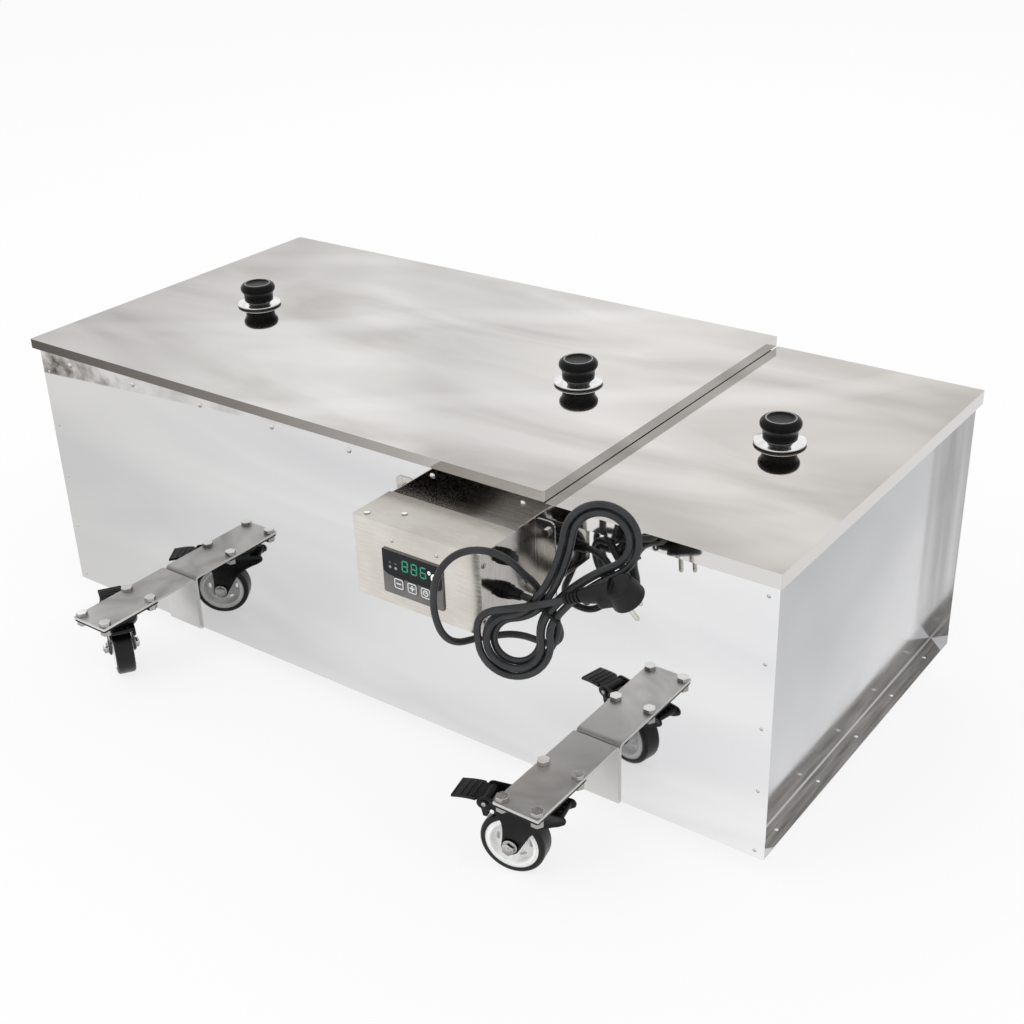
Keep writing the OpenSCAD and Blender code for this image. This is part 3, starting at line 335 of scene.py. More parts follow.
def wall_steel(tree, coords):
    """Front and back walls: a mirror under a slow painted shade along the tank, and a band of painted shade
    and reflection, spotted near the left end, where the front is bent under the lid.
    """
    look = rolled_steel(tree, coords, "F4F4F4", "E6E6E8", 0.018, (0.35, 1, 1.4))
    height = add_node(tree, "SeparateXYZ", {"Vector": coords}, out="Z")
    length = add_node(tree, "SeparateXYZ", {"Vector": coords}, out="X")
    # Painted shade and reflection under the lid: dark spots of about 38 mm near the left end, and an even,
    # fainter shade further right
    shade_spots = add_node(tree, "TexNoise", {
        "Vector": coords, "Scale": per_metre(38.4615), "Detail": 4.0, "Roughness": 0.6})
    mottled_shade = add_node(tree, "ValToRGB", {"Fac": shade_spots}, stops=[
        (0.34, "4C4743"), (0.44, "9A9591"), (0.58, "CFCCC9")])
    clear = add_node(tree, "ValToRGB", {"Fac": shade_spots}, stops=[(0.35, "BDBBB9"), (0.65, "D6D4D3")])
    near_end = add_node(tree, "MapRange", {"Value": length, "From Min": -0.28, "From Max": -0.47})
    dim = add_node(tree, "Mix", {0: near_end, 6: clear, 7: mottled_shade}, **OF_COLOURS)
    # The band of painted shade has its lower edge rising to the right, so that the band thins out towards the
    # thermostat box
    edge_z, rise, blur, band_end = 0.3805, 0.065, 0.002, 0.13
    level = add_node(tree, "Math", {0: length, 1: -rise, 2: height}, operation="MULTIPLY_ADD")
    upper = add_node(tree, "MapRange", {"Value": level, "From Min": edge_z, "From Max": edge_z + blur})
    before_box = add_node(tree, "MapRange", {"Value": length, "From Min": band_end, "From Max": 0.0})
    band = add_node(tree, "Math", {0: upper, 1: before_box}, operation="MULTIPLY")
    tone = shaded(tree, look["Base Color"], length, low=-0.54, high=0.58, stops=[
        (0.0, "DAD9D7"), (0.45, "E6E6E6"), (0.8, "F2F2F2"), (1.0, "FCFCFC")])
    banded = add_node(tree, "Mix", {0: band, 6: tone, 7: dim}, **OF_COLOURS)
    look["Base Color"] = on_faces(tree, (0, -1, 0), tone, banded)
    return look


def end_steel(tree, coords):
    """End panels: pale and slightly frosted in the middle, under a painted shade that darkens towards the
    top, with a darker painted shade on the ledges and a paler painted sheen on the flanges round them.
    """
    look = rolled_steel(tree, coords, "EDEDEE", "DADBDC", 0.09, (1, 0.5, 1))
    height = add_node(tree, "SeparateXYZ", {"Vector": coords}, out="Z")
    length = add_node(tree, "SeparateXYZ", {"Vector": coords}, out="X")
    tone = shaded(tree, look["Base Color"], height, low=0.04, high=0.38, stops=[
        (0.0, "EBEBEC"), (0.5, "DADADB"), (1.0, "CBCBCC")])
    # Faces turned up, on the ledges, are painted a darker shade with a fine grain
    along = add_node(tree, "Mapping", {"Vector": coords, "Scale": (1, 0.06, 1)})
    grain = add_node(tree, "TexNoise", {"Vector": along, "Scale": per_metre(4.16667), "Detail": 3.0})
    ledge_shade = add_node(tree, "ValToRGB", {"Fac": grain}, stops=[(0.3, "7B7874"), (0.7, "A9A6A2")])
    # A painted highlight runs along the fold where the right panel's ledge meets its middle
    blur, width, start = 0.0005, 0.001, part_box("right_end_panel")[0][0] + PANEL_SHEET
    after = add_node(tree, "MapRange", {"Value": length, "From Min": start - blur, "From Max": start})
    stop = start + width
    before = add_node(tree, "MapRange", {"Value": length, "From Min": stop + blur, "From Max": stop})
    # The mask of that painted highlight
    worn = add_node(tree, "Math", {0: after, 1: before}, operation="MULTIPLY")
    ledge_shade = add_node(tree, "Mix", {0: worn, 6: ledge_shade, 7: "D2D1CF"}, **OF_COLOURS)
    # Faces turned to the front, on the flanges, are painted a paler sheen, streaked upwards
    upwards = add_node(tree, "Mapping", {"Vector": coords, "Scale": (1, 1, 0.05)})
    folds = add_node(tree, "TexNoise", {"Vector": upwards, "Scale": per_metre(16.6667), "Detail": 2.0})
    flange = add_node(tree, "ValToRGB", {"Fac": folds}, stops=[(0.35, "D6D5D4"), (0.65, "F7F7F7")])
    tone = on_faces(tree, (0, 0, 1), tone, ledge_shade)
    look["Base Color"] = on_faces(tree, (0, -1, 0), tone, flange)
    return look


def lid_steel(tree, coords):
    """Lids: a warm mirror with milky swirls and thin wiping arcs under a slow painted shade along the tank,
    with painted shade on the folded edges at the front and on the faces turned to the right.
    """
    look = rolled_steel(tree, coords, "EEECEA", "CFCCC9", 0.035, (0.45, 1.3, 1), 200, -0.66, 0.0002)
    length = add_node(tree, "SeparateXYZ", {"Vector": coords}, out="X")
    across = add_node(tree, "Mapping", {"Vector": coords, "Rotation": (0, 0, 0.95)})
    # Arcs lie 286 mm apart, and a wave texture of scale 1 has its bands 314 mm apart
    arcs = add_node(tree, "TexWave", {
        "Vector": across, "Scale": 1.1, "Distortion": 7.0, "Detail": 2.0, "Detail Scale": 0.9}, out="Fac")
    line = add_node(tree, "ValToRGB", {"Fac": arcs}, stops=[(0.88, 0.0), (1.0, 0.34)])
    tone = add_node(tree, "Mix", {0: line, 6: look["Base Color"], 7: "FBFAF9"}, **OF_COLOURS)
    tone = shaded(tree, tone, length, low=-0.52, high=0.58, stops=[
        (0.0, "DFDDDC"), (0.32, "FDFDFC"), (0.7, "FAF9F8"), (1.0, "E6E3E0")])
    # Faces turned to the front, on the folded edges, are painted in shade: darkest at the left end, paling
    # towards the right
    along_front = add_node(tree, "MapRange", {"Value": length, "From Min": -0.5, "From Max": 0.33})
    front = add_node(tree, "ValToRGB", {"Fac": along_front}, stops=[
        (0.0, "544F4A"), (0.45, "7E7975"), (0.75, "A8A4A0"), (1.0, "D8D6D4")])
    tone = on_faces(tree, (0, -1, 0), tone, front)
    # Faces turned to the right are painted a flat grey shade
    look["Base Color"] = on_faces(tree, (1, 0, 0), tone, "CFCDCA")
    return look


def cradle_steel(tree, coords):
    """Plain hot-rolled strip: satin and stained on its flats, with a paler painted highlight on cut edges,
    legs and other faces turned aside.
    """
    look = rolled_steel(tree, coords, "D8D6D4", "BCBAB7", 0.28, (1, 1, 1), 70, 0.0, 0.0001)
    # Faces turned aside get a paler painted highlight
    level = turned_to(tree, (0, 0, 1))
    aside_highlight = add_node(tree, "MapRange", {"Value": level, "From Min": 0.8, "From Max": 0.5})
    look["Base Color"] = add_node(tree, "Mix", {
        0: aside_highlight, 6: look["Base Color"], 7: "D6D5D4"}, **OF_COLOURS)
    return look


def brushed_steel(tree, coords, pale, dark, rough, stretch, depth=0.00005):
    """Brushed stainless: parallel scratches, drawn 1 mm apart so that they show."""
    along = add_node(tree, "Mapping", {"Vector": coords, "Scale": stretch})
    grain = add_node(tree, "TexNoise", {
        "Vector": along, "Scale": per_metre(1.05263), "Detail": 4.0, "Roughness": 0.7})
    blotch = add_node(tree, "TexNoise", {"Vector": coords, "Scale": per_metre(55.5556), "Detail": 3.0})
    both = add_node(tree, "Math", {0: grain, 1: blotch}, operation="MULTIPLY")
    return {
        "Metallic": 1.0,
        "Base Color": add_node(tree, "ValToRGB", {"Fac": both}, stops=[(0.1, dark), (0.4, pale)]),
        "Roughness": add_node(tree, "ValToRGB", {"Fac": grain}, stops=[
            (0.3, rough * 0.8), (0.7, rough * 1.3)]),
        "Normal": add_node(tree, "Bump", {"Height": grain, "Strength": 0.25, "Distance": depth}),
    }


def plated(tree, coords, pale, dark, rough, pit=0.00005):
    """Plated or turned metal: bright, with faint clouds, and pits drawn 2 mm apart so that they show."""
    cloud = add_node(tree, "TexNoise", {"Vector": coords, "Scale": per_metre(8.33333), "Detail": 3.0})
    pits = add_node(tree, "TexNoise", {"Vector": coords, "Scale": per_metre(2), "Detail": 2.0})
    return {
        "Metallic": 1.0,
        "Base Color": add_node(tree, "ValToRGB", {"Fac": cloud}, stops=[(0.3, dark), (0.65, pale)]),
        "Roughness": add_node(tree, "ValToRGB", {"Fac": cloud}, stops=[(0.3, rough), (0.7, rough * 1.7)]),
        "Normal": add_node(tree, "Bump", {"Height": pits, "Strength": 0.15, "Distance": pit}),
    }


def formed_steel(tree, coords, below, aside, above, rough, marks_mm):
    """Small turned or headed parts under painted light: a painted highlight above and painted shade aside and
    below, so they stand out from a mirror.
    """
    # Painted light: the tone follows how far a face is turned up
    upwards = add_node(tree, "MapRange", {
        "Value": turned_to(tree, (0, 0, 1)), "From Min": -1.0, "From Max": 1.0})
    marks = add_node(tree, "TexNoise", {"Vector": coords, "Scale": per_metre(marks_mm), "Detail": 1.0})
    return {
        "Metallic": 1.0,
        "Base Color": add_node(tree, "ValToRGB", {"Fac": upwards}, stops=[
            (0.1, below), (0.5, aside), (0.9, above)]),
        "Roughness": add_node(tree, "ValToRGB", {"Fac": marks}, stops=[
            (0.3, rough * 0.8), (0.7, rough * 1.25)]),
    }


def moulded(tree, coords, base, worn, rough, grain_mm=1.2, depth=0.00008, shine=0.3):
    """Moulded plastic, rubber or paint: a fine grain, and a slightly paler tone where it is rubbed."""
    rub = add_node(tree, "TexNoise", {"Vector": coords, "Scale": per_metre(22.2222), "Detail": 4.0})
    grain = add_node(tree, "TexNoise", {"Vector": coords, "Scale": per_metre(grain_mm), "Detail": 2.0})
    return {
        "IOR": 1.5,
        "Specular IOR Level": shine,
        "Base Color": add_node(tree, "ValToRGB", {"Fac": rub}, stops=[(0.42, base), (0.75, worn)]),
        "Roughness": add_node(tree, "ValToRGB", {"Fac": rub}, stops=[
            (0.3, rough * 0.85), (0.7, rough * 1.2)]),
        "Normal": add_node(tree, "Bump", {"Height": grain, "Strength": 0.5, "Distance": depth}),
    }


def glass_wool(tree, coords):
    """Fibre mat: matt, yellow, with tangled fibres drawn 3 mm thick so that they show."""
    fibre = add_node(tree, "TexNoise", {
        "Vector": coords, "Scale": per_metre(3.33333), "Detail": 6.0, "Distortion": 2.0})
    return {
        "Base Color": add_node(tree, "ValToRGB", {"Fac": fibre}, stops=[(0.35, "B39B58"), (0.65, "E2D08C")]),
        "Roughness": 0.95,
        "Normal": add_node(tree, "Bump", {"Height": fibre, "Strength": 0.8, "Distance": 0.002}),
    }


def lamp_window(tree, coords, colour, glow):
    """Lit display segment: the colour comes mostly from its own light."""
    spread = add_node(tree, "TexNoise", {"Vector": coords, "Scale": per_metre(2.5)})
    tone = add_node(tree, "ValToRGB", {"Fac": spread}, stops=[(0.3, colour), (0.8, glow)])
    return {"Base Color": tone, "Roughness": 0.3, "Emission Color": tone, "Emission Strength": 0.6}


def changed(colour, level):
    """A setting's colour, and the same colour where it is worn or lit."""
    return tuple(colour), tuple(min(v * level, 1.0) for v in colour)


def recipes():
    """Each finish, with the function that makes it and that function's values."""
    scene = bpy.context.scene
    return {
        # Stainless sheet as it is rolled, pressed, punched and brushed: bright, then duller with the work
        "rolled_steel_walls": (wall_steel,),
        "rolled_steel_end": (end_steel,),
        "rolled_steel_lids": (lid_steel,),
        "pressed_steel_inside": (rolled_steel, "D9D8D5", "BDBAB6", 0.14, (1, 1, 1), 150),
        "perforated_steel": (rolled_steel, "D6D5D2", "BDBBB7", 0.22, (1, 1, 1), 120),
        "brushed_steel_box": (brushed_steel, "DEDAD4", "C6C0B8", 0.2, (0.04, 1, 1), 0.00002),
        "brushed_steel_plates": (brushed_steel, "D6D4D0", "B4B0AB", 0.12, (1, 1, 0.04)),
        "satin_steel_cradles": (cradle_steel,),
        # Fastenings and rosettes, headed or spun, whose marks follow the tool, and whose tone is painted
        # light: bright on top, in painted shade on their sides
        "zinc_plated_steel": (formed_steel, "4A4846", "A8A6A4", "FBFBF9", 0.16, 3.0),
        "stainless_rivet": (formed_steel, "3E3C3A", "BBBAB9", "FCFCFC", 0.16, 1.0),
        "spun_polished_steel": (formed_steel, "4A4846", "6E6C6A", "F6F6F6", 0.11, 4.0),
        # Plated brass is white and sharp in chrome and warmer in nickel, and blasted aluminium is matt
        "chromed_brass": (plated, "F0F0F0", "D5D5D6", 0.05),
        "nickel_plated_brass": (plated, "DAD7CF", "B9B5AB", 0.16),
        "aluminium_inlay": (plated, "B4B4B4", "8E8E8E", 0.3, 0.00001),
        # Turned resin takes a deep polish, enamel flows out smooth, and the rest keeps its mould's texture
        "phenolic_black": (moulded, *changed(scene.tank_knobs.black, 2.6), 0.2, 3.0, 0.00002, 0.14),
        "black_enamelled_steel": (moulded, "070708", "131315", 0.24, 2.0, 0.00006, 0.25),
        "abs_black": (moulded, "080809", "151517", 0.38, 1.2, 0.0001, 0.3),
        "pvc_jacket": (moulded, *changed(scene.tank_lead.jacket, 2.4), 0.4, 1.0, 0.00005, 0.5),
        "nylon_black": (moulded, "060607", "111113", 0.35, 1.5, 0.00008, 0.25),
        "polyurethane_tyre": (moulded, "070708", "151517", 0.3, 1.5, 0.00008, 0.3),
        "polypropylene_white": (moulded, *changed(scene.tank_casters.rims, 0.86), 0.3, 2.0, 0.00006, 0.4),
        "display_glass": (moulded, "1A1B1D", "232426", 0.16, 4.0, 0.00001, 0.15),
        "fascia_grey": (moulded, "666564", "737271", 0.42, 1.0, 0.00006, 0.3),
        "white_print": (moulded, "E9EAEA", "D2D4D5", 0.5, 1.0),
        "unlit_lamps": (moulded, "8C9193", "A6ABAD", 0.3, 1.0),
        "lever_sleeve_vinyl": (moulded, *changed(scene.tank_sheet_metal.lever, 1.45), 0.4, 1.2),
        # Lit marks, and the mat between the walls
        "green_segments": (lamp_window, *changed(scene.tank_controls.lit, 2.0)),
        "white_segments": (lamp_window, "DCE6E4", "FFFFFF"),
        "glass_wool": (glass_wool,),
    }


FINISHES = {}


def finish(name):
    """The material of that name, made from its recipe when it is first asked for."""
    if name not in FINISHES:
        make, *values = recipes()[name]
        material = bpy.data.materials.new(name)
        material.use_nodes = True
        tree = material.node_tree
        coords = add_node(tree, "TexCoord", {}, out="Object")
        fill(tree, tree.nodes["Principled BSDF"], make(tree, coords, *values))
        FINISHES[name] = material
    return FINISHES[name]


# Sizes and colours that a user would change


class StageSettings(bpy.types.PropertyGroup):
    """Lens and light of the stage"""

    focal: FloatProperty(name="Focal length", description="Lens, for a sensor 36 mm wide",
                         default=52.62, min=20, max=200, unit="CAMERA")
    key_power: FloatProperty(name="Key lamp", description="Power of the large lamp above the front",
                             default=38.0, min=0, subtype="POWER")
    sky: FloatProperty(name="Sky level", description="Brightness of the surroundings on the object",
                       default=0.92, min=0, max=2, subtype="FACTOR")


class LeadSettings(bpy.types.PropertyGroup):
    """Sizes and colour of the mains lead"""

    diameter: FloatProperty(name="Lead diameter", description="Outer diameter of the mains lead",
                            default=0.0076, min=0.007, max=0.008, unit="LENGTH")
    length: FloatProperty(name="Lead length", description="Whole length of the mains lead",
                          default=2.23, min=1.5, max=3, unit="LENGTH")
    jacket: FloatVectorProperty(name="Jacket", description="Colour of the lead's outer skin",
                                default=linear("1D1E20")[:3], min=0, max=1, subtype="COLOR")


class ControlSettings(bpy.types.PropertyGroup):
    """Sizes and colour of the thermostat's marks"""

    digit_height: FloatProperty(name="Digit height", description="Height of a display digit",
                                default=0.0136, min=0.008, max=0.015, unit="LENGTH")
    digit_pitch: FloatProperty(name="Digit pitch", description="Distance between two digits",
                               default=0.0122, min=0.008, max=0.013, unit="LENGTH")
    icon_side: FloatProperty(name="Icon frame", description="Side of the frame printed round a button",
                             default=0.0134, min=0.0126, max=0.014, unit="LENGTH")
    lit: FloatVectorProperty(name="Lit digits", description="Colour of the lit digits",
                             default=linear("0B6A50")[:3], min=0, max=1, subtype="COLOR")


class KnobSettings(bpy.types.PropertyGroup):
    """Sizes and colour of the lid knobs"""

    grip: FloatProperty(name="Grip diameter", description="Diameter of a lid knob",
                        default=0.047, min=0.038, max=0.056, unit="LENGTH")
    inlay: FloatProperty(name="Inlay diameter", description="Diameter of the ring let into its top",
                         default=0.0345, min=0.02, max=0.04, unit="LENGTH")
    black: FloatVectorProperty(name="Grip colour", description="Colour of the turned grips",
                               default=linear("030303")[:3], min=0, max=1, subtype="COLOR")


class CasterSettings(bpy.types.PropertyGroup):
    """Sizes and colour of the casters"""

    wheel: FloatProperty(name="Wheel diameter", description="Diameter of a caster's wheel",
                         default=0.075, min=0.07, max=0.076, unit="LENGTH")
    press: FloatProperty(name="Cheek pressing", description="Depth of the panel pressed into a cheek",
                         default=0.0009, min=0, max=0.002, unit="LENGTH")
    rims: FloatVectorProperty(name="Rim colour", description="Colour of the wheel rims",
                              default=linear("FBFBFA")[:3], min=0, max=1, subtype="COLOR")


class SheetSettings(bpy.types.PropertyGroup):
    """Rounding of the sheet metal and colour of the valve lever"""

    rounding: FloatProperty(name="Edge rounding", description="Share of the usual rounding on edges",
                            default=1.0, min=0.5, max=1.5, subtype="FACTOR")
    lever: FloatVectorProperty(name="Lever colour", description="Colour of the valve lever's sleeve",
                               default=linear("A3231D")[:3], min=0, max=1, subtype="COLOR")


# Camera, lamps and floor

CAMERA_AT = (1.10575, -1.36467, 1.08393)
# The camera's right, up and backward directions, solved from the photograph's edges
CAMERA_RIGHT = (0.80788648, 0.58856867, -0.03010584)
CAMERA_UP = (-0.25080174, 0.38958687, 0.88618314)
CAMERA_BACK = (0.53330848, -0.70838478, 0.462356)
CAMERA_SHIFT = 0.00117
# Each lamp's place, size and share of the key lamp's power
LAMPS = {
    "key_lamp": ((-0.9, -2.6, 3.4), 2.6, 1.0),
    "side_lamp": ((3.2, -0.4, 1.9), 1.8, 0.32),
    "back_lamp": ((-1.4, 3.0, 2.6), 2.4, 0.35),
}
LAMP_TARGET = Vector((0, 0, 0.2))
FLOOR_Z = -0.0005


class OBJECT_OT_tank_stage(bpy.types.Operator):
    """Camera at the photograph's angle, soft lamps and a pale floor"""

    bl_idname = "object.tank_stage"
    bl_label = "Stage"

    def execute(self, context):
        sizes = context.scene.tank_stage
        scene = context.scene
        scene.view_settings.view_transform = "Standard"
        camera = bpy.data.objects.new("camera", bpy.data.cameras.new("camera"))
        scene.collection.objects.link(camera)
        camera.data.lens = sizes.focal
        camera.data.sensor_width = 36.0
        camera.data.shift_x = CAMERA_SHIFT
        turn = Matrix((CAMERA_RIGHT, CAMERA_UP, CAMERA_BACK)).transposed().to_4x4()
        camera.matrix_world = Matrix.Translation(CAMERA_AT) @ turn
        scene.camera = camera

        deselect()
        bpy.ops.mesh.primitive_plane_add(size=60, location=(0, 0, FLOOR_Z))
        floor = context.object
        floor.name = "floor"
        floor.data.materials.append(self.paper())

        for name, (at, size, share) in LAMPS.items():
            lamp = bpy.data.objects.new(name, bpy.data.lights.new(name, "AREA"))
            scene.collection.objects.link(lamp)
            lamp.data.shape = "DISK"
            lamp.data.size = size
            lamp.data.energy = sizes.key_power * share
            # A lamp's disc isn't mirrored in the sheet
            lamp.visible_glossy = False
            lamp.location = at
            lamp.rotation_euler = (LAMP_TARGET - Vector(at)).to_track_quat("-Z", "Y").to_euler()

        scene.world = self.studio(sizes.sky)
        return {"FINISHED"}

    def studio(self, sky):
        """White surroundings, in which the polished sheet mirrors a few soft grey panels."""
        world = bpy.data.worlds.new("studio")
        world.use_nodes = True
        tree = world.node_tree
        tree.nodes.clear()
        straight = add_node(tree, "LightPath", {}, out="Is Camera Ray")
        through = add_node(tree, "LightPath", {}, out="Is Transmission Ray")
        seen = add_node(tree, "Math", {0: straight, 1: through}, operation="MAXIMUM")
        where = add_node(tree, "TexCoord", {}, out="Generated")
        panels = add_node(tree, "TexNoise", {
            "Vector": where, "Scale": 2.2, "Detail": 1.5, "Distortion": 0.8})
        mirrored = add_node(tree, "ValToRGB", {"Fac": panels}, stops=[(0.36, 0.74), (0.6, 0.97)])
        glossy = add_node(tree, "LightPath", {}, out="Is Glossy Ray")
        colour = add_node(tree, "Mix", {0: glossy, 6: linear(sky), 7: mirrored}, **OF_COLOURS)
        colour = add_node(tree, "Mix", {0: seen, 6: colour, 7: linear(1.0)}, **OF_COLOURS)
        backdrop = add_node(tree, "Background", {"Color": colour, "Strength": 1.0})
        add_node(tree, "OutputWorld", {"Surface": backdrop})
        return world

    def paper(self):
        """Seamless white paper, which shows white to the camera and in the steel, and keeps shadows."""
        material = bpy.data.materials.new("seamless_paper")
        material.use_nodes = True
        tree = material.node_tree
        tree.nodes.clear()
        straight = add_node(tree, "LightPath", {}, out="Is Camera Ray")
        for way in ("Is Glossy Ray", "Is Transmission Ray"):
            ray = add_node(tree, "LightPath", {}, out=way)
            straight = add_node(tree, "Math", {0: straight, 1: ray}, operation="MAXIMUM")
        share = add_node(tree, "Math", {0: straight, 1: 0.8}, operation="MULTIPLY")
        matt = add_node(tree, "BsdfDiffuse", {"Color": linear(0.86)})
        glow = add_node(tree, "Emission", {"Color": linear(1.0), "Strength": 1.0})
        both = add_node(tree, "MixShader", {0: share, 1: matt, 2: glow})
        add_node(tree, "OutputMaterial", {"Surface": both})
        return material


# Mains lead: its route repeats the one in the part's source, in millimetres

LEAD_START = (321.5, -310.0, 302.0)
RING_POINTS = [
    (338.3, -309.4, 299.9), (350.4, -307.4, 293.7), (358.6, -304.1, 283.2), (361.6, -300.0, 270.4),
    (358.8, -295.9, 257.6), (350.7, -292.6, 247.0), (338.7, -290.5, 240.5), (325.0, -290.1, 239.4),
    (311.5, -292.7, 240.9), (300.0, -299.9, 242.9), (292.5, -311.2, 245.3), (288.9, -324.2, 248.7),
    (285.9, -336.8, 253.5), (283.4, -350.1, 256.5), (280.1, -363.1, 260.0), (276.2, -374.0, 267.3),
    (272.5, -380.9, 278.6), (269.7, -384.0, 291.8), (267.7, -384.9, 305.5), (267.2, -384.3, 319.3),
    (268.4, -382.5, 333.0), (271.7, -379.3, 346.0), (277.9, -374.9, 357.6), (286.8, -369.6, 366.7),
    (297.9, -363.4, 372.0), (309.5, -355.9, 372.5), (319.8, -347.8, 368.4), (327.6, -339.6, 360.4),
    (333.0, -332.2, 350.1), (337.2, -325.0, 339.0), (342.1, -317.5, 328.4), (348.5, -313.8, 316.8),
    (356.1, -313.0, 305.3), (364.5, -312.1, 294.3), (369.6, -314.8, 281.9), (369.9, -321.3, 269.8),
]
TAIL_POINTS = [
    (302.7, -359.5, 288.8), (308.0, -357.6, 298.7), (317.1, -354.9, 304.9), (327.5, -351.8, 308.7),
    (338.0, -348.0, 311.5), (348.2, -343.5, 314.2), (358.4, -339.0, 317.1), (368.5, -334.5, 320.2),
]
PLUG_AT = (387.0, -326.0, 327.0)
PLUG_TURN = (21, -26, 12)
HANK_LOW = (336.7, -342.4, 270.3)
HANK_TURN = (74, -52.8, 36.5)
# The coil's length between its folds' centres, its waist, and the radii of its two folds
HANK_L, WAIST_X, WAIST_HALF, LOW_R, HIGH_R = 143.0, 48.0, 2.3, 22.1, 26.0
# Air between neighbouring strands and between the two layers
STRAND_GAP, LAYER_GAP = 0.9, 0.8
# How far the lead runs straight out of its gland, into the coil and out of it
GLAND_STRAIGHT, IN_STRAIGHT, OUT_STRAIGHT = 5, 5, 4.5
# Where the coil starts and ends: the turn, the arc of it and the share of that arc
COIL_START, COIL_END = (0, 1, 0.16), (3, 1, 0.68)
# Share of a turn in which the lead climbs from one layer to the other
CLIMB_SHARE = 0.16


def placing(at, turn):
    """A place and a turn of three angles in degrees, as one matrix."""
    x, y, z = (Matrix.Rotation(math.radians(a), 4, axis) for a, axis in zip(turn, "XYZ"))
    return Matrix.Translation(at) @ z @ y @ x


def hank_route(diameter):
    """The coil's loops, in its own frame, with its straight ends and their directions."""
    step, layer = diameter + STRAND_GAP, diameter + LAYER_GAP
    far = HANK_L - WAIST_X
    # Radii of the bends that lead from the waist into either fold, and where they meet it in degrees
    low_bend = (WAIST_X ** 2 + WAIST_HALF ** 2 - LOW_R ** 2) / (2 * (LOW_R - WAIST_HALF))
    high_bend = (far ** 2 + WAIST_HALF ** 2 - HIGH_R ** 2) / (2 * (HIGH_R - WAIST_HALF))
    low_meet = math.degrees(math.atan2(WAIST_HALF + low_bend, WAIST_X))
    high_meet = math.degrees(math.atan2(WAIST_HALF + high_bend, far))
    # Each turn's six tangent arcs: centre, radius, its change outwards, two angles, and steps
    arcs = [
        (WAIST_X, WAIST_HALF + low_bend, low_bend, -1, 270, 180 + low_meet, 6),
        (0, 0, LOW_R, 1, low_meet, 360 - low_meet, 28),
        (WAIST_X, -WAIST_HALF - low_bend, low_bend, -1, 180 - low_meet, 90, 6),
        (WAIST_X, -WAIST_HALF - high_bend, high_bend, -1, 90, high_meet, 8),
        (HANK_L, 0, HIGH_R, 1, high_meet - 180, 180 - high_meet, 28),
        (WAIST_X, WAIST_HALF + high_bend, high_bend, -1, 360 - high_meet, 270, 8),
    ]
    lengths = [r * abs(a1 - a0) for _, _, r, _, a0, a1, _ in arcs]
    # Share of a turn at which each arc starts, and the turn in which the lead changes its layer
    starts = [sum(lengths[:i]) / sum(lengths) for i in range(len(arcs) + 1)]
    climb = 1 + starts[3]

    def strand(turn, i, f):
        """The place at a share f of arc i in a turn."""
        cx, cy, r0, sign, a0, a1, _ = arcs[i]
        t = turn + starts[i] + (starts[i + 1] - starts[i]) * f
        r = r0 + sign * step * abs(t - climb)
        a = math.radians(a0 + (a1 - a0) * f)
        u = min(max((t - climb) / CLIMB_SHARE + 0.5, 0), 1)
        return Vector((cx + r * math.cos(a), -cy - r * math.sin(a), layer * (3 * u * u - 2 * u ** 3 - 0.5)))

    def count(turn, i, f):
        """The same place as a count of arcs from the coil's start."""
        return turn * len(arcs) + i + f

    def end(turn, i, f, inwards):
        """A place where the coil ends, and the direction in which the lead leaves it."""
        at = strand(turn, i, f)
        return at, (at - strand(turn, i, f + inwards)).normalized()

    first, first_dir = end(*COIL_START, 0.001)
    last, last_dir = end(*COIL_END, -0.001)
    route = [first + diameter * first_dir, first]
    # No place is taken that lies almost on one of the ends
    after, before = count(*COIL_START) + 0.01, count(*COIL_END) - 0.01
    for turn in range(COIL_END[0] + 1):
        for i, arc in enumerate(arcs):
            steps = arc[6]
            for j in range(steps):
                if after < count(turn, i, j / steps) < before:
                    route.append(strand(turn, i, j / steps))
    return route + [last, last + diameter * last_dir], first_dir, last_dir


def smooth_route(points, steps):
    """Points along a smooth curve through the given ones."""
    points = [Vector(p) for p in points]
    legs = [(b - a).length for a, b in zip(points, points[1:])]
    units = [(b - a).normalized() for a, b in zip(points, points[1:])]
    heads = [units[0]] + [(units[i - 1] * legs[i] + units[i] * legs[i - 1]).normalized()
                          for i in range(1, len(points) - 1)] + [units[-1]]
    route = []
    for i, leg in enumerate(legs):
        p0, p3 = points[i], points[i + 1]
        p1, p2 = p0 + heads[i] * leg / 3, p3 - heads[i + 1] * leg / 3
        for j in range(steps):
            t = j / steps
            u = 1 - t
            route.append(u ** 3 * p0 + 3 * u * u * t * p1 + 3 * u * t * t * p2 + t ** 3 * p3)
    return route + [points[-1]]


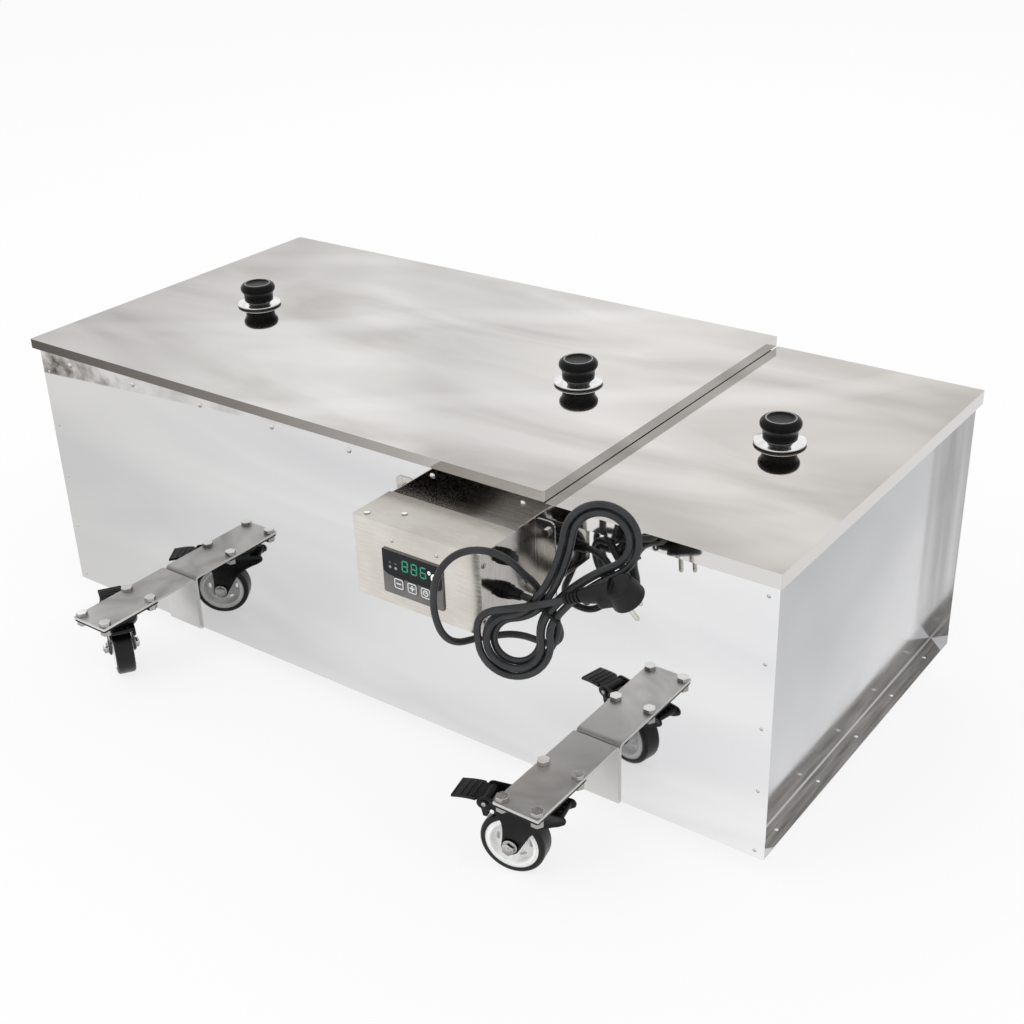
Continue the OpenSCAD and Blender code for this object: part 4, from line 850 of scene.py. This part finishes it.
class OBJECT_OT_tank_lead(bpy.types.Operator):
    """Mains lead as one length: its ring, its tied coil and its tail to the plug"""

    bl_idname = "object.tank_lead"
    bl_label = "Mains lead"

    def execute(self, context):
        sizes = context.scene.tank_lead
        d = sizes.diameter / MM
        route = self.route(d)
        curve = bpy.data.curves.new("mains_lead_whole", "CURVE")
        curve.dimensions = "3D"
        spline = curve.splines.new("POLY")
        spline.points.add(len(route) - 1)
        for point, at in zip(spline.points, route):
            point.co = (*(v * MM for v in at), 1)
        spline.use_smooth = True
        curve.bevel_depth = d / 2 * MM
        curve.bevel_resolution = 5
        curve.use_fill_caps = True
        lead = bpy.data.objects.new("mains_lead_whole", curve)
        context.scene.collection.objects.link(lead)
        dress(lead, "tank", "pvc_jacket")
        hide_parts("mains_lead", "lead_hank")
        plug = self.plug()
        relief = self.plug_relief()
        refinish("plug_pins", "nickel_plated_brass")
        refinish("hank_tie", "nylon_black")
        return {"FINISHED"}

    def route(self, d):
        """The whole lead from its gland to its plug, in millimetres."""
        place = placing(HANK_LOW, HANK_TURN)
        coil, first_dir, last_dir = hank_route(d)
        coil_placed = [place @ p for p in coil]
        out_of_gland = (LEAD_START[0] + GLAND_STRAIGHT, LEAD_START[1], LEAD_START[2])
        into_coil = place @ (coil[0] + IN_STRAIGHT * first_dir)
        out_of_coil = place @ (coil[-1] + OUT_STRAIGHT * last_dir)
        ring = smooth_route([LEAD_START, out_of_gland] + RING_POINTS + [into_coil, coil_placed[0]], 4)
        plug_dir = placing((0, 0, 0), PLUG_TURN) @ Vector((d, 0, 0))
        tail = smooth_route([coil_placed[-1], out_of_coil] + TAIL_POINTS
                            + [Vector(PLUG_AT) - plug_dir, PLUG_AT], 4)
        return ring[:-1] + coil_placed + tail[1:]

    def plug(self):
        """Moulded angled plug: a round head and a thick neck, melted into one body."""
        head_x, neck_x = 62, 36
        deselect()
        bpy.ops.mesh.primitive_cone_add(vertices=64, radius1=18.3, radius2=15.2, depth=23,
                                        location=(head_x, 0, -9.6))
        head = bevel_edges(bpy.context.object, 2.6, 4)
        rim = cylinder(15.5, 2, (head_x, 0, -20.4), sides=64)
        deselect()
        bpy.ops.mesh.primitive_cone_add(vertices=40, radius1=7.6, radius2=13.2, depth=34,
                                        location=(neck_x, 0, -2.6), rotation=(0, math.radians(96), 0))
        neck = bpy.context.object
        web = bevel_edges(block((28, 27, 17), (49, 0, -7.5), (0, math.radians(7), 0)), 5, 3)
        eye = lathe([(2.4, -1.8), (4.4, -1.8), (4.4, 1.8), (2.4, 1.8), (2.4, -1.8)], 24)
        face_y(eye, (19, 0, -9.4))
        stem = block((5, 3.4, 5), (20, 0, -5.2))
        body = join([head, rim, neck, web, eye, stem])
        apply_modifier(body, "REMESH", mode="VOXEL", voxel_size=0.62)
        apply_modifier(body, "SMOOTH", factor=0.5, iterations=7)
        settle(body, "plug_moulding", placing(PLUG_AT, PLUG_TURN))
        smooth(body, 60)
        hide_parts("plug_body")
        return dress(body, "tank", "abs_black")

    def plug_relief(self):
        """Ribbed bend protection on the lead behind the plug."""
        inner, ribs, pitch = 4.0, 5, 4.3
        profile = [(inner, 0), (5.2, 0)]
        for i in range(ribs):
            x = 1.6 + i * pitch
            profile += [(5.2 + 0.1 * i, x), (6.4 + 0.12 * i, x + 0.5), (6.5 + 0.12 * i, x + 2.3),
                        (5.3 + 0.1 * i, x + 2.8)]
        profile += [(6.2, 23.5), (inner, 23.5), (inner, 0)]
        turn = placing(PLUG_AT, PLUG_TURN) @ Matrix.Rotation(math.pi / 2, 4, "Y")
        relief = smooth(settle(lathe(profile, 40), "plug_relief", turn), 35)
        return dress(relief, "tank", "abs_black")


# Lid knobs

ROSETTE_R, ROSETTE_H = 29.5, 7.5


class OBJECT_OT_tank_knobs(bpy.types.Operator):
    """Turned black knobs with a pale ring let into the top, on polished rosettes"""

    bl_idname = "object.tank_knobs"
    bl_label = "Lid knobs"

    def execute(self, context):
        sizes = context.scene.tank_knobs
        for lid, plural in (("large_lid", "s"), ("small_lid", "")):
            low, high = box_mm(lid + "_rosette" + plural)
            middle = (low[1] + high[1]) / 2
            places = [low[0] + ROSETTE_R, high[0] - ROSETTE_R] if plural else [low[0] + ROSETTE_R]
            grips, rosettes, inlays = [], [], []
            for x in places:
                for made, pieces in ((self.grip(sizes), grips), (self.rosette(), rosettes),
                                     (self.inlay(sizes), inlays)):
                    made.data.transform(Matrix.Translation((x, middle, low[2])))
                    pieces.append(made)
            grip = smooth(settle(join(grips), lid + "_grip_turned"), 50)
            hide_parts(lid + "_knob" + plural)
            dress(grip, lid, "phenolic_black")
            rosette = smooth(settle(join(rosettes), lid + "_rosette_turned"), 30)
            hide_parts(lid + "_rosette" + plural)
            dress(rosette, lid, "spun_polished_steel")
            inlay = smooth(settle(join(inlays), lid + "_grip_inlay"), 30)
            dress(inlay, lid, "aluminium_inlay")
        return {"FINISHED"}

    def grip(self, sizes):
        """Black grip: a waist, a round shoulder and a dished top."""
        r = sizes.grip / MM / 2
        ring = sizes.inlay / MM / 2
        profile = [(0, ROSETTE_H), (r - 4.8, ROSETTE_H), (r - 4.0, 8.1), (r - 3.8, 9.4), (r - 3.9, 13.0),
                   (r - 3.6, 15.6), (r - 2.4, 18.4)]
        shoulder_r, shoulder_z = 6.6, 23.8
        profile += arc_points(r - shoulder_r, shoulder_z, shoulder_r, -38, 90, 12)
        profile += [(ring - 1.0, 30.3), (ring - 1.6, 29.7), (ring - 2.6, 28.9), (ring - 6, 28.2), (0, 28.0)]
        return lathe(profile)

    def rosette(self):
        """Spun disc under a grip, with a rolled rim and a sloping shoulder."""
        r = ROSETTE_R
        return lathe([(0, 0), (r - 2.2, 0), (r - 0.8, 0.5), (r - 0.15, 1.5), (r, 2.3), (r - 0.6, 3.2),
                      (r - 1.7, 3.7), (r - 3.4, 4.3), (r - 6.2, 5.8), (21.0, 7.0), (20.2, 7.4),
                      (19.4, ROSETTE_H), (0, ROSETTE_H)], 72)

    def inlay(self, sizes):
        """Thin pale ring let into the top of a grip."""
        ring = sizes.inlay / MM / 2
        return lathe([(ring - 1.3, 29.6), (ring + 0.3, 29.6), (ring + 0.3, 30.55), (ring - 0.1, 30.7),
                      (ring - 0.9, 30.7), (ring - 1.3, 30.5), (ring - 1.3, 29.6)], 72)


# Control box front: places on it are measured from the upper left corner of the thermostat's front

# Each bar of a digit: its place across and up in half digits, and whether it lies or stands
SEGMENTS = {
    "a": (0, 1, "lying"), "g": (0, 0, "lying"), "d": (0, -1, "lying"),
    "f": (-1, 0.5, "standing"), "b": (1, 0.5, "standing"),
    "e": (-1, -0.5, "standing"), "c": (1, -0.5, "standing"),
}
DIGITS = {"8": "abcdefg", "6": "acdefg"}
# Degree ring and open round letter: centre, inner and outer radius, first and last angle
UNIT_MARKS = ((63.4, -11.2, 0.9, 2.0, 0, 360), (70.2, -16.0, 2.9, 4.7, 48, 312))
LAMP_XS, LAMP_Z, BAR_Z = (10.6, 18.4), -19.6, -14.2
READING, FIRST_DIGIT_X, DIGIT_Z = "886", 31.0, -13.6
# How far the window, the lit marks and the print stand out from the front
WINDOW_OUT, LIT_OUT, PRINT_OUT = 0.15, 0.45, 0.1
# From the upper left corner of the box's front
BOX_RIVET_XS, BOX_RIVET_Z = (52.3, 111.6), -18


class OBJECT_OT_tank_controls(bpy.types.Operator):
    """Display window, its digits and lamps, and the white print round the buttons"""

    bl_idname = "object.tank_controls"
    bl_label = "Thermostat front"

    def execute(self, context):
        sizes = context.scene.tank_controls
        low, high = box_mm("thermostat_front")
        self.left, self.front, self.top = low[0], low[1], high[2]
        refinish("thermostat_front", "fascia_grey")
        self.window()
        self.digits(sizes)
        self.unit_mark()
        self.lamps()
        for name in ("minus_button", "plus_button", "set_button"):
            self.button(name, sizes)
        self.box_rivets()
        return {"FINISHED"}

    def on_front(self, x, z, out=0.0):
        """A place on the thermostat's front, in millimetres."""
        return (self.left + x, self.front - out, self.top + z)

    def window(self):
        """Dark window over the upper part, with its lower corners swept up."""
        left, right, top, low = 0.5, 79.5, -0.5, -30.2
        sweep_x, sweep_z = 13, 6
        outline = [(left, top)]
        for side, corner in ((1, left), (-1, right)):
            for a in range(0, 91, 15)[::side]:
                x = corner + side * sweep_x * (1 - math.cos(math.radians(a)))
                outline.append((x, low + sweep_z * (1 - math.sin(math.radians(a)))))
        outline.append((right, top))
        glass = from_points("window", [self.on_front(x, z, WINDOW_OUT) for x, z in outline],
                            [tuple(range(len(outline)))])
        apply_modifier(glass, "SOLIDIFY", thickness=0.5, offset=0)
        bevel_edges(close_up(glass), 0.15)
        dress(settle(glass, "display_window"), "tank", "display_glass")

    def segment(self, kind, length, width):
        """One display bar with pointed ends."""
        h, w = length / 2, width / 2
        outline = [(-h, 0), (-h + w, w), (h - w, w), (h, 0), (h - w, -w), (-h + w, -w)]
        if kind == "standing":
            outline = [(-z, x) for x, z in outline]
        bar = from_points("bar", [(x, 0, z) for x, z in outline], [tuple(range(len(outline)))])
        apply_modifier(bar, "SOLIDIFY", thickness=0.3, offset=0)
        return bar

    def digits(self, sizes):
        """Three lit digits, slanted a little to the right."""
        half_h = sizes.digit_height / MM / 2 - 0.7
        half_w, bar, slant = 3.5, 1.45, 0.09
        lit = []
        for i, digit in enumerate(READING):
            middle = FIRST_DIGIT_X + i * sizes.digit_pitch / MM
            for key, (across, up, kind) in SEGMENTS.items():
                if key not in DIGITS[digit]:
                    continue
                obj = self.segment(kind, 2 * half_w - 0.5 if kind == "lying" else half_h - 0.4, bar)
                x = middle + across * half_w + slant * up * half_h
                obj.data.transform(Matrix.Translation(self.on_front(x, DIGIT_Z + up * half_h, LIT_OUT)))
                lit.append(obj)
        dress(settle(join(lit), "display_digits"), "tank", "green_segments")

    def unit_mark(self):
        """Degree ring and an open round letter for the scale, both a little taller than wide."""
        tall, steps = 1.15, 24
        pieces = []
        for cx, cz, r0, r1, a0, a1 in UNIT_MARKS:
            arcs = zip(arc_points(0, 0, r0, a0, a1, steps), arc_points(0, 0, r1, a0, a1, steps))
            points = [(cx + x, 0, cz + tall * z) for pair in arcs for x, z in pair]
            faces = [(2 * i, 2 * i + 1, 2 * i + 3, 2 * i + 2) for i in range(steps)]
            mark = thick_sheet(points, faces, 0.3)
            mark.data.transform(Matrix.Translation(self.on_front(0, 0, LIT_OUT)))
            pieces.append(mark)
        dress(settle(join(pieces), "display_unit_mark"), "tank", "white_segments")

    def lamps(self):
        """Two unlit round lamps with a short bar over each."""
        lamps = [cylinder(1.75, 0.5, self.on_front(x, LAMP_Z, 0.5), ALONG_Y, 24) for x in LAMP_XS]
        bars = [block((2.6, 0.3, 0.7), self.on_front(x, BAR_Z, LIT_OUT)) for x in LAMP_XS]
        for lamp in lamps:
            bevel_edges(lamp, 0.4)
        dress(settle(join(lamps + bars), "display_lamps"), "tank", "unlit_lamps")

    def button(self, name, sizes):
        """A button with its edges rounded, its printed frame and its sign."""
        low, high = box_mm(name)
        x, y, z = (low[0] + high[0]) / 2, low[1] - PRINT_OUT, (low[2] + high[2]) / 2
        dress(softened(name, name + "_key", 0.5), name, "fascia_grey")
        frame_piece = self.rounded_frame(x, z, sizes.icon_side / MM - 1.4, 1.0, y)
        dress(settle(frame_piece, name + "_frame"), name, "white_print")
        if name == "set_button":
            ring = lathe([(2.5, -0.1), (3.6, -0.1), (3.6, 0.1), (2.5, 0.1), (2.5, -0.1)], 32)
            signs = [face_y(ring, (x, y, z)),
                     block((4.2, 0.2, 1.0), (x + 1.6, y, z + 1.4), (0, math.radians(-48), 0)),
                     block((2.2, 0.2, 1.0), (x - 0.6, y, z + 0.4), (0, math.radians(42), 0))]
        else:
            signs = [block((6.4, 0.2, 1.5), (x, y, z))]
            if name == "plus_button":
                signs.append(block((1.5, 0.21, 6.4), (x, y, z)))
        bevel_edges(signs[0], 0.05, 1)
        dress(settle(join(signs), name + "_icon"), name, "white_print")

    def rounded_frame(self, x, z, side, width, y):
        """Thin frame with round corners, printed round a button's edge."""
        corner_r, steps = 2.4, 5
        points = []
        for corner, (sx, sz) in enumerate(((1, 1), (-1, 1), (-1, -1), (1, -1))):
            for i in range(steps + 1):
                a = math.radians(90 * corner + 90 * i / steps)
                for r, half in ((corner_r, side / 2), (corner_r - width, side / 2 - width)):
                    points.append((x + (half - r) * sx + r * math.cos(a), y,
                                   z + (half - r) * sz + r * math.sin(a)))
        n = len(points)
        faces = [(i, i + 1, (i + 3) % n, (i + 2) % n) for i in range(0, n, 2)]
        obj = from_points("frame", points, faces)
        apply_modifier(obj, "SOLIDIFY", thickness=0.2, offset=0)
        return obj

    def box_rivets(self):
        """Two rivet heads over the thermostat, on the box's own front."""
        low, high = box_mm("box_housing")
        heads = []
        for x in BOX_RIVET_XS:
            head = lathe([(0, 1.1), (1.0, 1.05), (1.9, 0.7), (2.3, 0.2), (2.3, -0.4), (0, -0.4),
                          (0, 1.1)], 28)
            heads.append(face_y(head, (low[0] + x, low[1] - 0.1, high[2] + BOX_RIVET_Z)))
        rivets = smooth(settle(join(heads), "box_front_rivets"), 50)
        dress(rivets, "tank", "stainless_rivet")


# Casters: modelled once about the swivel axis, with the wheel's axle behind it along X


def joint_mm(name):
    """A joint's place, in millimetres."""
    return Vector(JOINTS[name]["pos_m"]) / MM


def behind_swivel(name):
    """How far a caster's joint lies behind its swivel axis, and its height."""
    at = joint_mm("front_left_" + name)
    return (at - joint_mm("front_left_swivel")).xy.length, at.z


TRAIL, AXLE_Z = behind_swivel("roll")
PIN_X, PIN_Z = behind_swivel("brake")
# Underside of the crown, inside of the cheeks and their thickness
CROWN_Z, CHEEK_IN, CHEEK_T = 91.1, 14, 2.5
CHEEK_OUT = CHEEK_IN + CHEEK_T
# Each place behind the swivel axis, and its height
PEDAL_BARS = ((72, 90.6), (79, 90.2), (86, 89.2))
PEDAL_LIP = (95.2, 86.8)
FORK_RIVETS = ((49, 79), (41.5, 66))


def bend_points(p0, p1, p2, n):
    """Points along a bend from p0 to p2 that p1 pulls on."""
    shares = [i / n for i in range(n + 1)]
    return [tuple((1 - t) ** 2 * a + 2 * (1 - t) * t * b + t * t * c for a, b, c in zip(p0, p1, p2))
            for t in shares]


class OBJECT_OT_tank_casters(bpy.types.Operator):
    """Pressed black forks, zinc axles, dished white wheels, tyres and brake pedals"""

    bl_idname = "object.tank_casters"
    bl_label = "Casters"

    def execute(self, context):
        fork, axle, rivets = self.fork(context.scene.tank_casters), self.axle(), self.rivets()
        pedal_grip, hub = self.pedal_grip(), self.hub_caps()
        for name in ("front_left", "front_right", "back_left", "back_right"):
            at, axle_at = joint_mm(name + "_swivel"), joint_mm(name + "_roll")
            heading = math.atan2(axle_at.y - at.y, axle_at.x - at.x)
            place = Matrix.Translation((at.x, at.y, 0)) @ Matrix.Rotation(heading, 4, "Z")
            shell = smooth(settle(copy_mesh(fork), name + "_fork_pressing", place), 38)
            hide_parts(name + "_fork")
            dress(shell, name + "_fork", "black_enamelled_steel")
            for source, piece, body, paint, node in (
                (axle, "_axle_bolt", "_fork", "zinc_plated_steel", "caster_bolts"),
                (rivets, "_fork_rivets", "_fork", "polypropylene_white", "caster_bolts"),
                (pedal_grip, "_pedal_ribs", "_pedal", "abs_black", name + "_pedal"),
                (hub, "_wheel_hub", "_wheel", "polypropylene_white", name + "_wheel"),
            ):
                made = smooth(settle(copy_mesh(source), name + piece, place), 35)
                dress(made, name + body, paint)
            pedal = softened(name + "_pedal", name + "_pedal_moulding", 0.8)
            dress(pedal, name + "_pedal", "abs_black")
            refinish(name + "_wheel", "polypropylene_white")
            refinish(name + "_tyre", "polyurethane_tyre")
        for source in (fork, axle, rivets, pedal_grip, hub):
            bpy.data.objects.remove(source)
        return {"FINISHED"}

    def fork(self, sizes):
        """Two cheeks with a sunk panel, the crown with its bearing ring, and the front bridge."""
        wheel_r, top = sizes.wheel / MM / 2, CROWN_Z + 3
        # Widths of the flat rim round a cheek's pressed panel, and of the slope down to it
        rim, slope = 2.6, 1.2
        outline = (arc_points(-28, top - 6, 6, 90, 215, 6)
                   + bend_points((-26, top - 14), (-4, top - 22), (8, wheel_r + 18), 7)
                   + arc_points(TRAIL, AXLE_Z, 10.5, 200, 355, 10)
                   + bend_points((TRAIL + 9, wheel_r + 8), (TRAIL + 6, wheel_r + 36),
                                 (TRAIL + 18, wheel_r + 40), 8)
                   + arc_points(PIN_X + 2, PIN_Z, 7, -70, 90, 7))
        parts = []
        for side in (-1, 1):
            cheek = from_points("cheek", [(x, side * CHEEK_IN, z) for x, z in outline],
                                [tuple(range(len(outline)))])
            bpy.ops.object.mode_set(mode="EDIT")
            bpy.ops.mesh.select_all(action="SELECT")
            bpy.ops.mesh.extrude_region_move(TRANSFORM_OT_translate={"value": (0, side * CHEEK_T, 0)})
            bpy.ops.mesh.inset(thickness=rim, depth=0)
            bpy.ops.mesh.inset(thickness=slope, depth=0)
            bpy.ops.transform.translate(value=(0, -side * sizes.press / MM, 0))
            bpy.ops.object.mode_set(mode="OBJECT")
            bevel_edges(close_up(cheek), 0.5, 2, 50)
            boss = cylinder(9.2, 1.6, (TRAIL, side * (CHEEK_OUT + 0.1), AXLE_Z), ALONG_Y)
            pivot = cylinder(5.0, 1.4, (PIN_X, side * (CHEEK_OUT + 0.2), PIN_Z), ALONG_Y, 28)
            parts += [cheek, bevel_edges(boss, 0.5), bevel_edges(pivot, 0.5)]
        z = CROWN_Z
        ring = lathe([(6.1, z), (23, z), (23.6, z + 1), (23.6, z + 6.4), (22.6, z + 7.5), (18, z + 7.5),
                      (17, z + 6.8), (17, z + 3), (6.1, z + 3), (6.1, z)], 48)
        bridge = bevel_edges(block((62, 2 * CHEEK_IN + 0.6, 3), (3, 0, z + 1.5)), 0.8)
        nose = bevel_edges(cylinder(3.2, 2 * CHEEK_IN, (-27.5, 0, z - 0.3), ALONG_Y, 20), 0.4, 1)
        ribs = [bevel_edges(cylinder(1.5, 16, (-19, y, z + 3.0), (0, math.pi / 2, 0), 16), 0.5)
                for y in (-8, 0, 8)]
        return join(parts + [ring, bridge, nose] + ribs)

    def axle(self):
        """Axle with a flanged head on one side and a lock nut on the other, and the pedal's pin."""
        parts = []
        # On each side a hexagon, its flange and the thread's end: radius, length, place, rounding, sides
        for side, long in ((-1, 5.2), (1, 6.7)):
            for radius, depth, out, rounding, sides in (
                (7.6, long, long / 2, 0.7, 6), (8.6, 1.1, 0.75, 0.3, 32), (4, 1.6, long + 0.3, 0.6, 24),
            ):
                disc = cylinder(radius, depth, (TRAIL, side * (CHEEK_OUT + out), AXLE_Z), ALONG_Y, sides)
                parts.append(bevel_edges(disc, rounding))
        shank = cylinder(3.98, 2 * CHEEK_OUT, (TRAIL, 0, AXLE_Z), ALONG_Y)
        pin = cylinder(2.5, 36, (PIN_X, 0, PIN_Z), ALONG_Y, 24)
        return join(parts + [bevel_edges(shank, 0.2, 1), bevel_edges(pin, 0.4)])

    def rivets(self):
        """Pale rivet heads on the forks' rear wings."""
        parts = []
        for side in (-1, 1):
            for x, z in FORK_RIVETS:
                head = lathe([(0, 1.2), (1.3, 1.05), (2.2, 0.6), (2.6, 0), (0, 0)], 20)
                parts.append(face_y(head, (x, side * (CHEEK_OUT - 0.1), z), side))
        return join(parts)

    def pedal_grip(self):
        """Raised bars across the tread and a lip at its tip."""
        parts = [bevel_edges(cylinder(1.5, 27, (x, 0, z), ALONG_Y, 16), 0.6) for x, z in PEDAL_BARS]
        lip = cylinder(1.9, 30, (PEDAL_LIP[0], 0, PEDAL_LIP[1]), ALONG_Y, 20)
        return join(parts + [bevel_edges(lip, 0.7)])

    def hub_caps(self):
        """Raised rings round the bore and inside the rim on both faces of a wheel."""
        parts = []
        for side in (-1, 1):
            ring = lathe([(24.5, 0), (25.3, 1.3), (26.6, 1.7), (27.9, 1.3), (28.6, 0), (24.5, 0)], 56)
            cone = lathe([(9.0, 0), (15, 0), (14.2, 1.2), (11.4, 3.4), (9.0, 4.2), (9.0, 0)], 48)
            parts += [face_y(ring, (TRAIL, side * 10.8, AXLE_Z), side),
                      face_y(cone, (TRAIL, side * 2.9, AXLE_Z), side)]
        return join(parts)


# Steel, fittings and the inside

# CAD nodes that get rounded edges: the rounding in millimetres, the body and the finish
EDGED = {
    "large_lid": (0.45, "large_lid", "rolled_steel_lids"),
    "small_lid": (0.45, "small_lid", "rolled_steel_lids"),
    "box_housing": (0.5, "tank", "brushed_steel_box"),
    "box_brackets": (0.4, "tank", "brushed_steel_plates"),
    "left_cradle": (0.8, "tank", "satin_steel_cradles"),
    "right_cradle": (0.8, "tank", "satin_steel_cradles"),
    "caster_top_plates": (0.4, "tank", "black_enamelled_steel"),
    "caster_bolts": (0.5, "tank", "zinc_plated_steel"),
    "cable_glands": (0.5, "tank", "nylon_black"),
    "valve_body": (0.8, "tank", "nickel_plated_brass"),
    "valve_lever": (0.5, "valve", "lever_sleeve_vinyl"),
}
# CAD nodes that keep their own mesh, under their finish
PLAIN = {
    "rolled_steel_walls": ("front_panel", "back_panel", "floor_panel"),
    "rolled_steel_end": ("left_end_panel", "right_end_panel"),
    "pressed_steel_inside": ("basin", "partition", "cross_rail", "outlet_pipe"),
    "perforated_steel": ("fine_basket", "coarse_basket"),
    "stainless_rivet": ("casing_rivets",),
    "zinc_plated_steel": ("box_screws",),
    "black_enamelled_steel": ("heating_element",),
    "nickel_plated_brass": ("temperature_probe",),
    "chromed_brass": ("valve_ball",),
    "abs_black": ("thermostat",),
    "glass_wool": ("insulation",),
}


class OBJECT_OT_tank_sheet_metal(bpy.types.Operator):
    """Edges rounded as sheet metal is, and finishes for the casing, lids, cradles and fittings"""

    bl_idname = "object.tank_sheet_metal"
    bl_label = "Sheet metal and fittings"

    def execute(self, context):
        sizes = context.scene.tank_sheet_metal
        for node, (width, body, paint) in EDGED.items():
            dress(softened(node, node + "_edged", width * sizes.rounding), body, paint)
        for paint, nodes in PLAIN.items():
            for node in nodes:
                refinish(node, paint)
        return {"FINISHED"}


# The add-on's panel and its registration

# Each step with the settings it reads, in the order in which they are made
STEPS = (
    (OBJECT_OT_tank_stage, "tank_stage", StageSettings),
    (OBJECT_OT_tank_lead, "tank_lead", LeadSettings),
    (OBJECT_OT_tank_knobs, "tank_knobs", KnobSettings),
    (OBJECT_OT_tank_controls, "tank_controls", ControlSettings),
    (OBJECT_OT_tank_casters, "tank_casters", CasterSettings),
    (OBJECT_OT_tank_sheet_metal, "tank_sheet_metal", SheetSettings),
)


class VIEW3D_PT_tank(bpy.types.Panel):
    """Sizes and steps of the strainer tank"""

    bl_idname = "VIEW3D_PT_tank"
    bl_label = "Strainer tank"
    bl_space_type = "VIEW_3D"
    bl_region_type = "UI"
    bl_category = "Strainer tank"

    def draw(self, context):
        for operator, group, settings in STEPS:
            box = self.layout.box()
            for key in settings.__annotations__:
                box.prop(getattr(context.scene, group), key)
            box.operator(operator.bl_idname)


def register():
    """Make the settings, operators and panel known to Blender."""
    for operator, group, settings in STEPS:
        bpy.utils.register_class(settings)
        setattr(bpy.types.Scene, group, PointerProperty(type=settings))
        bpy.utils.register_class(operator)
    bpy.utils.register_class(VIEW3D_PT_tank)


def unregister():
    """Take them away again."""
    bpy.utils.unregister_class(VIEW3D_PT_tank)
    for operator, group, settings in STEPS:
        bpy.utils.unregister_class(operator)
        delattr(bpy.types.Scene, group)
        bpy.utils.unregister_class(settings)


def main():
    """Run every step in order."""
    register()
    bpy.ops.object.tank_stage()
    bpy.ops.object.tank_lead()
    bpy.ops.object.tank_knobs()
    bpy.ops.object.tank_controls()
    bpy.ops.object.tank_casters()
    bpy.ops.object.tank_sheet_metal()


if __name__ == "__main__":
    main()
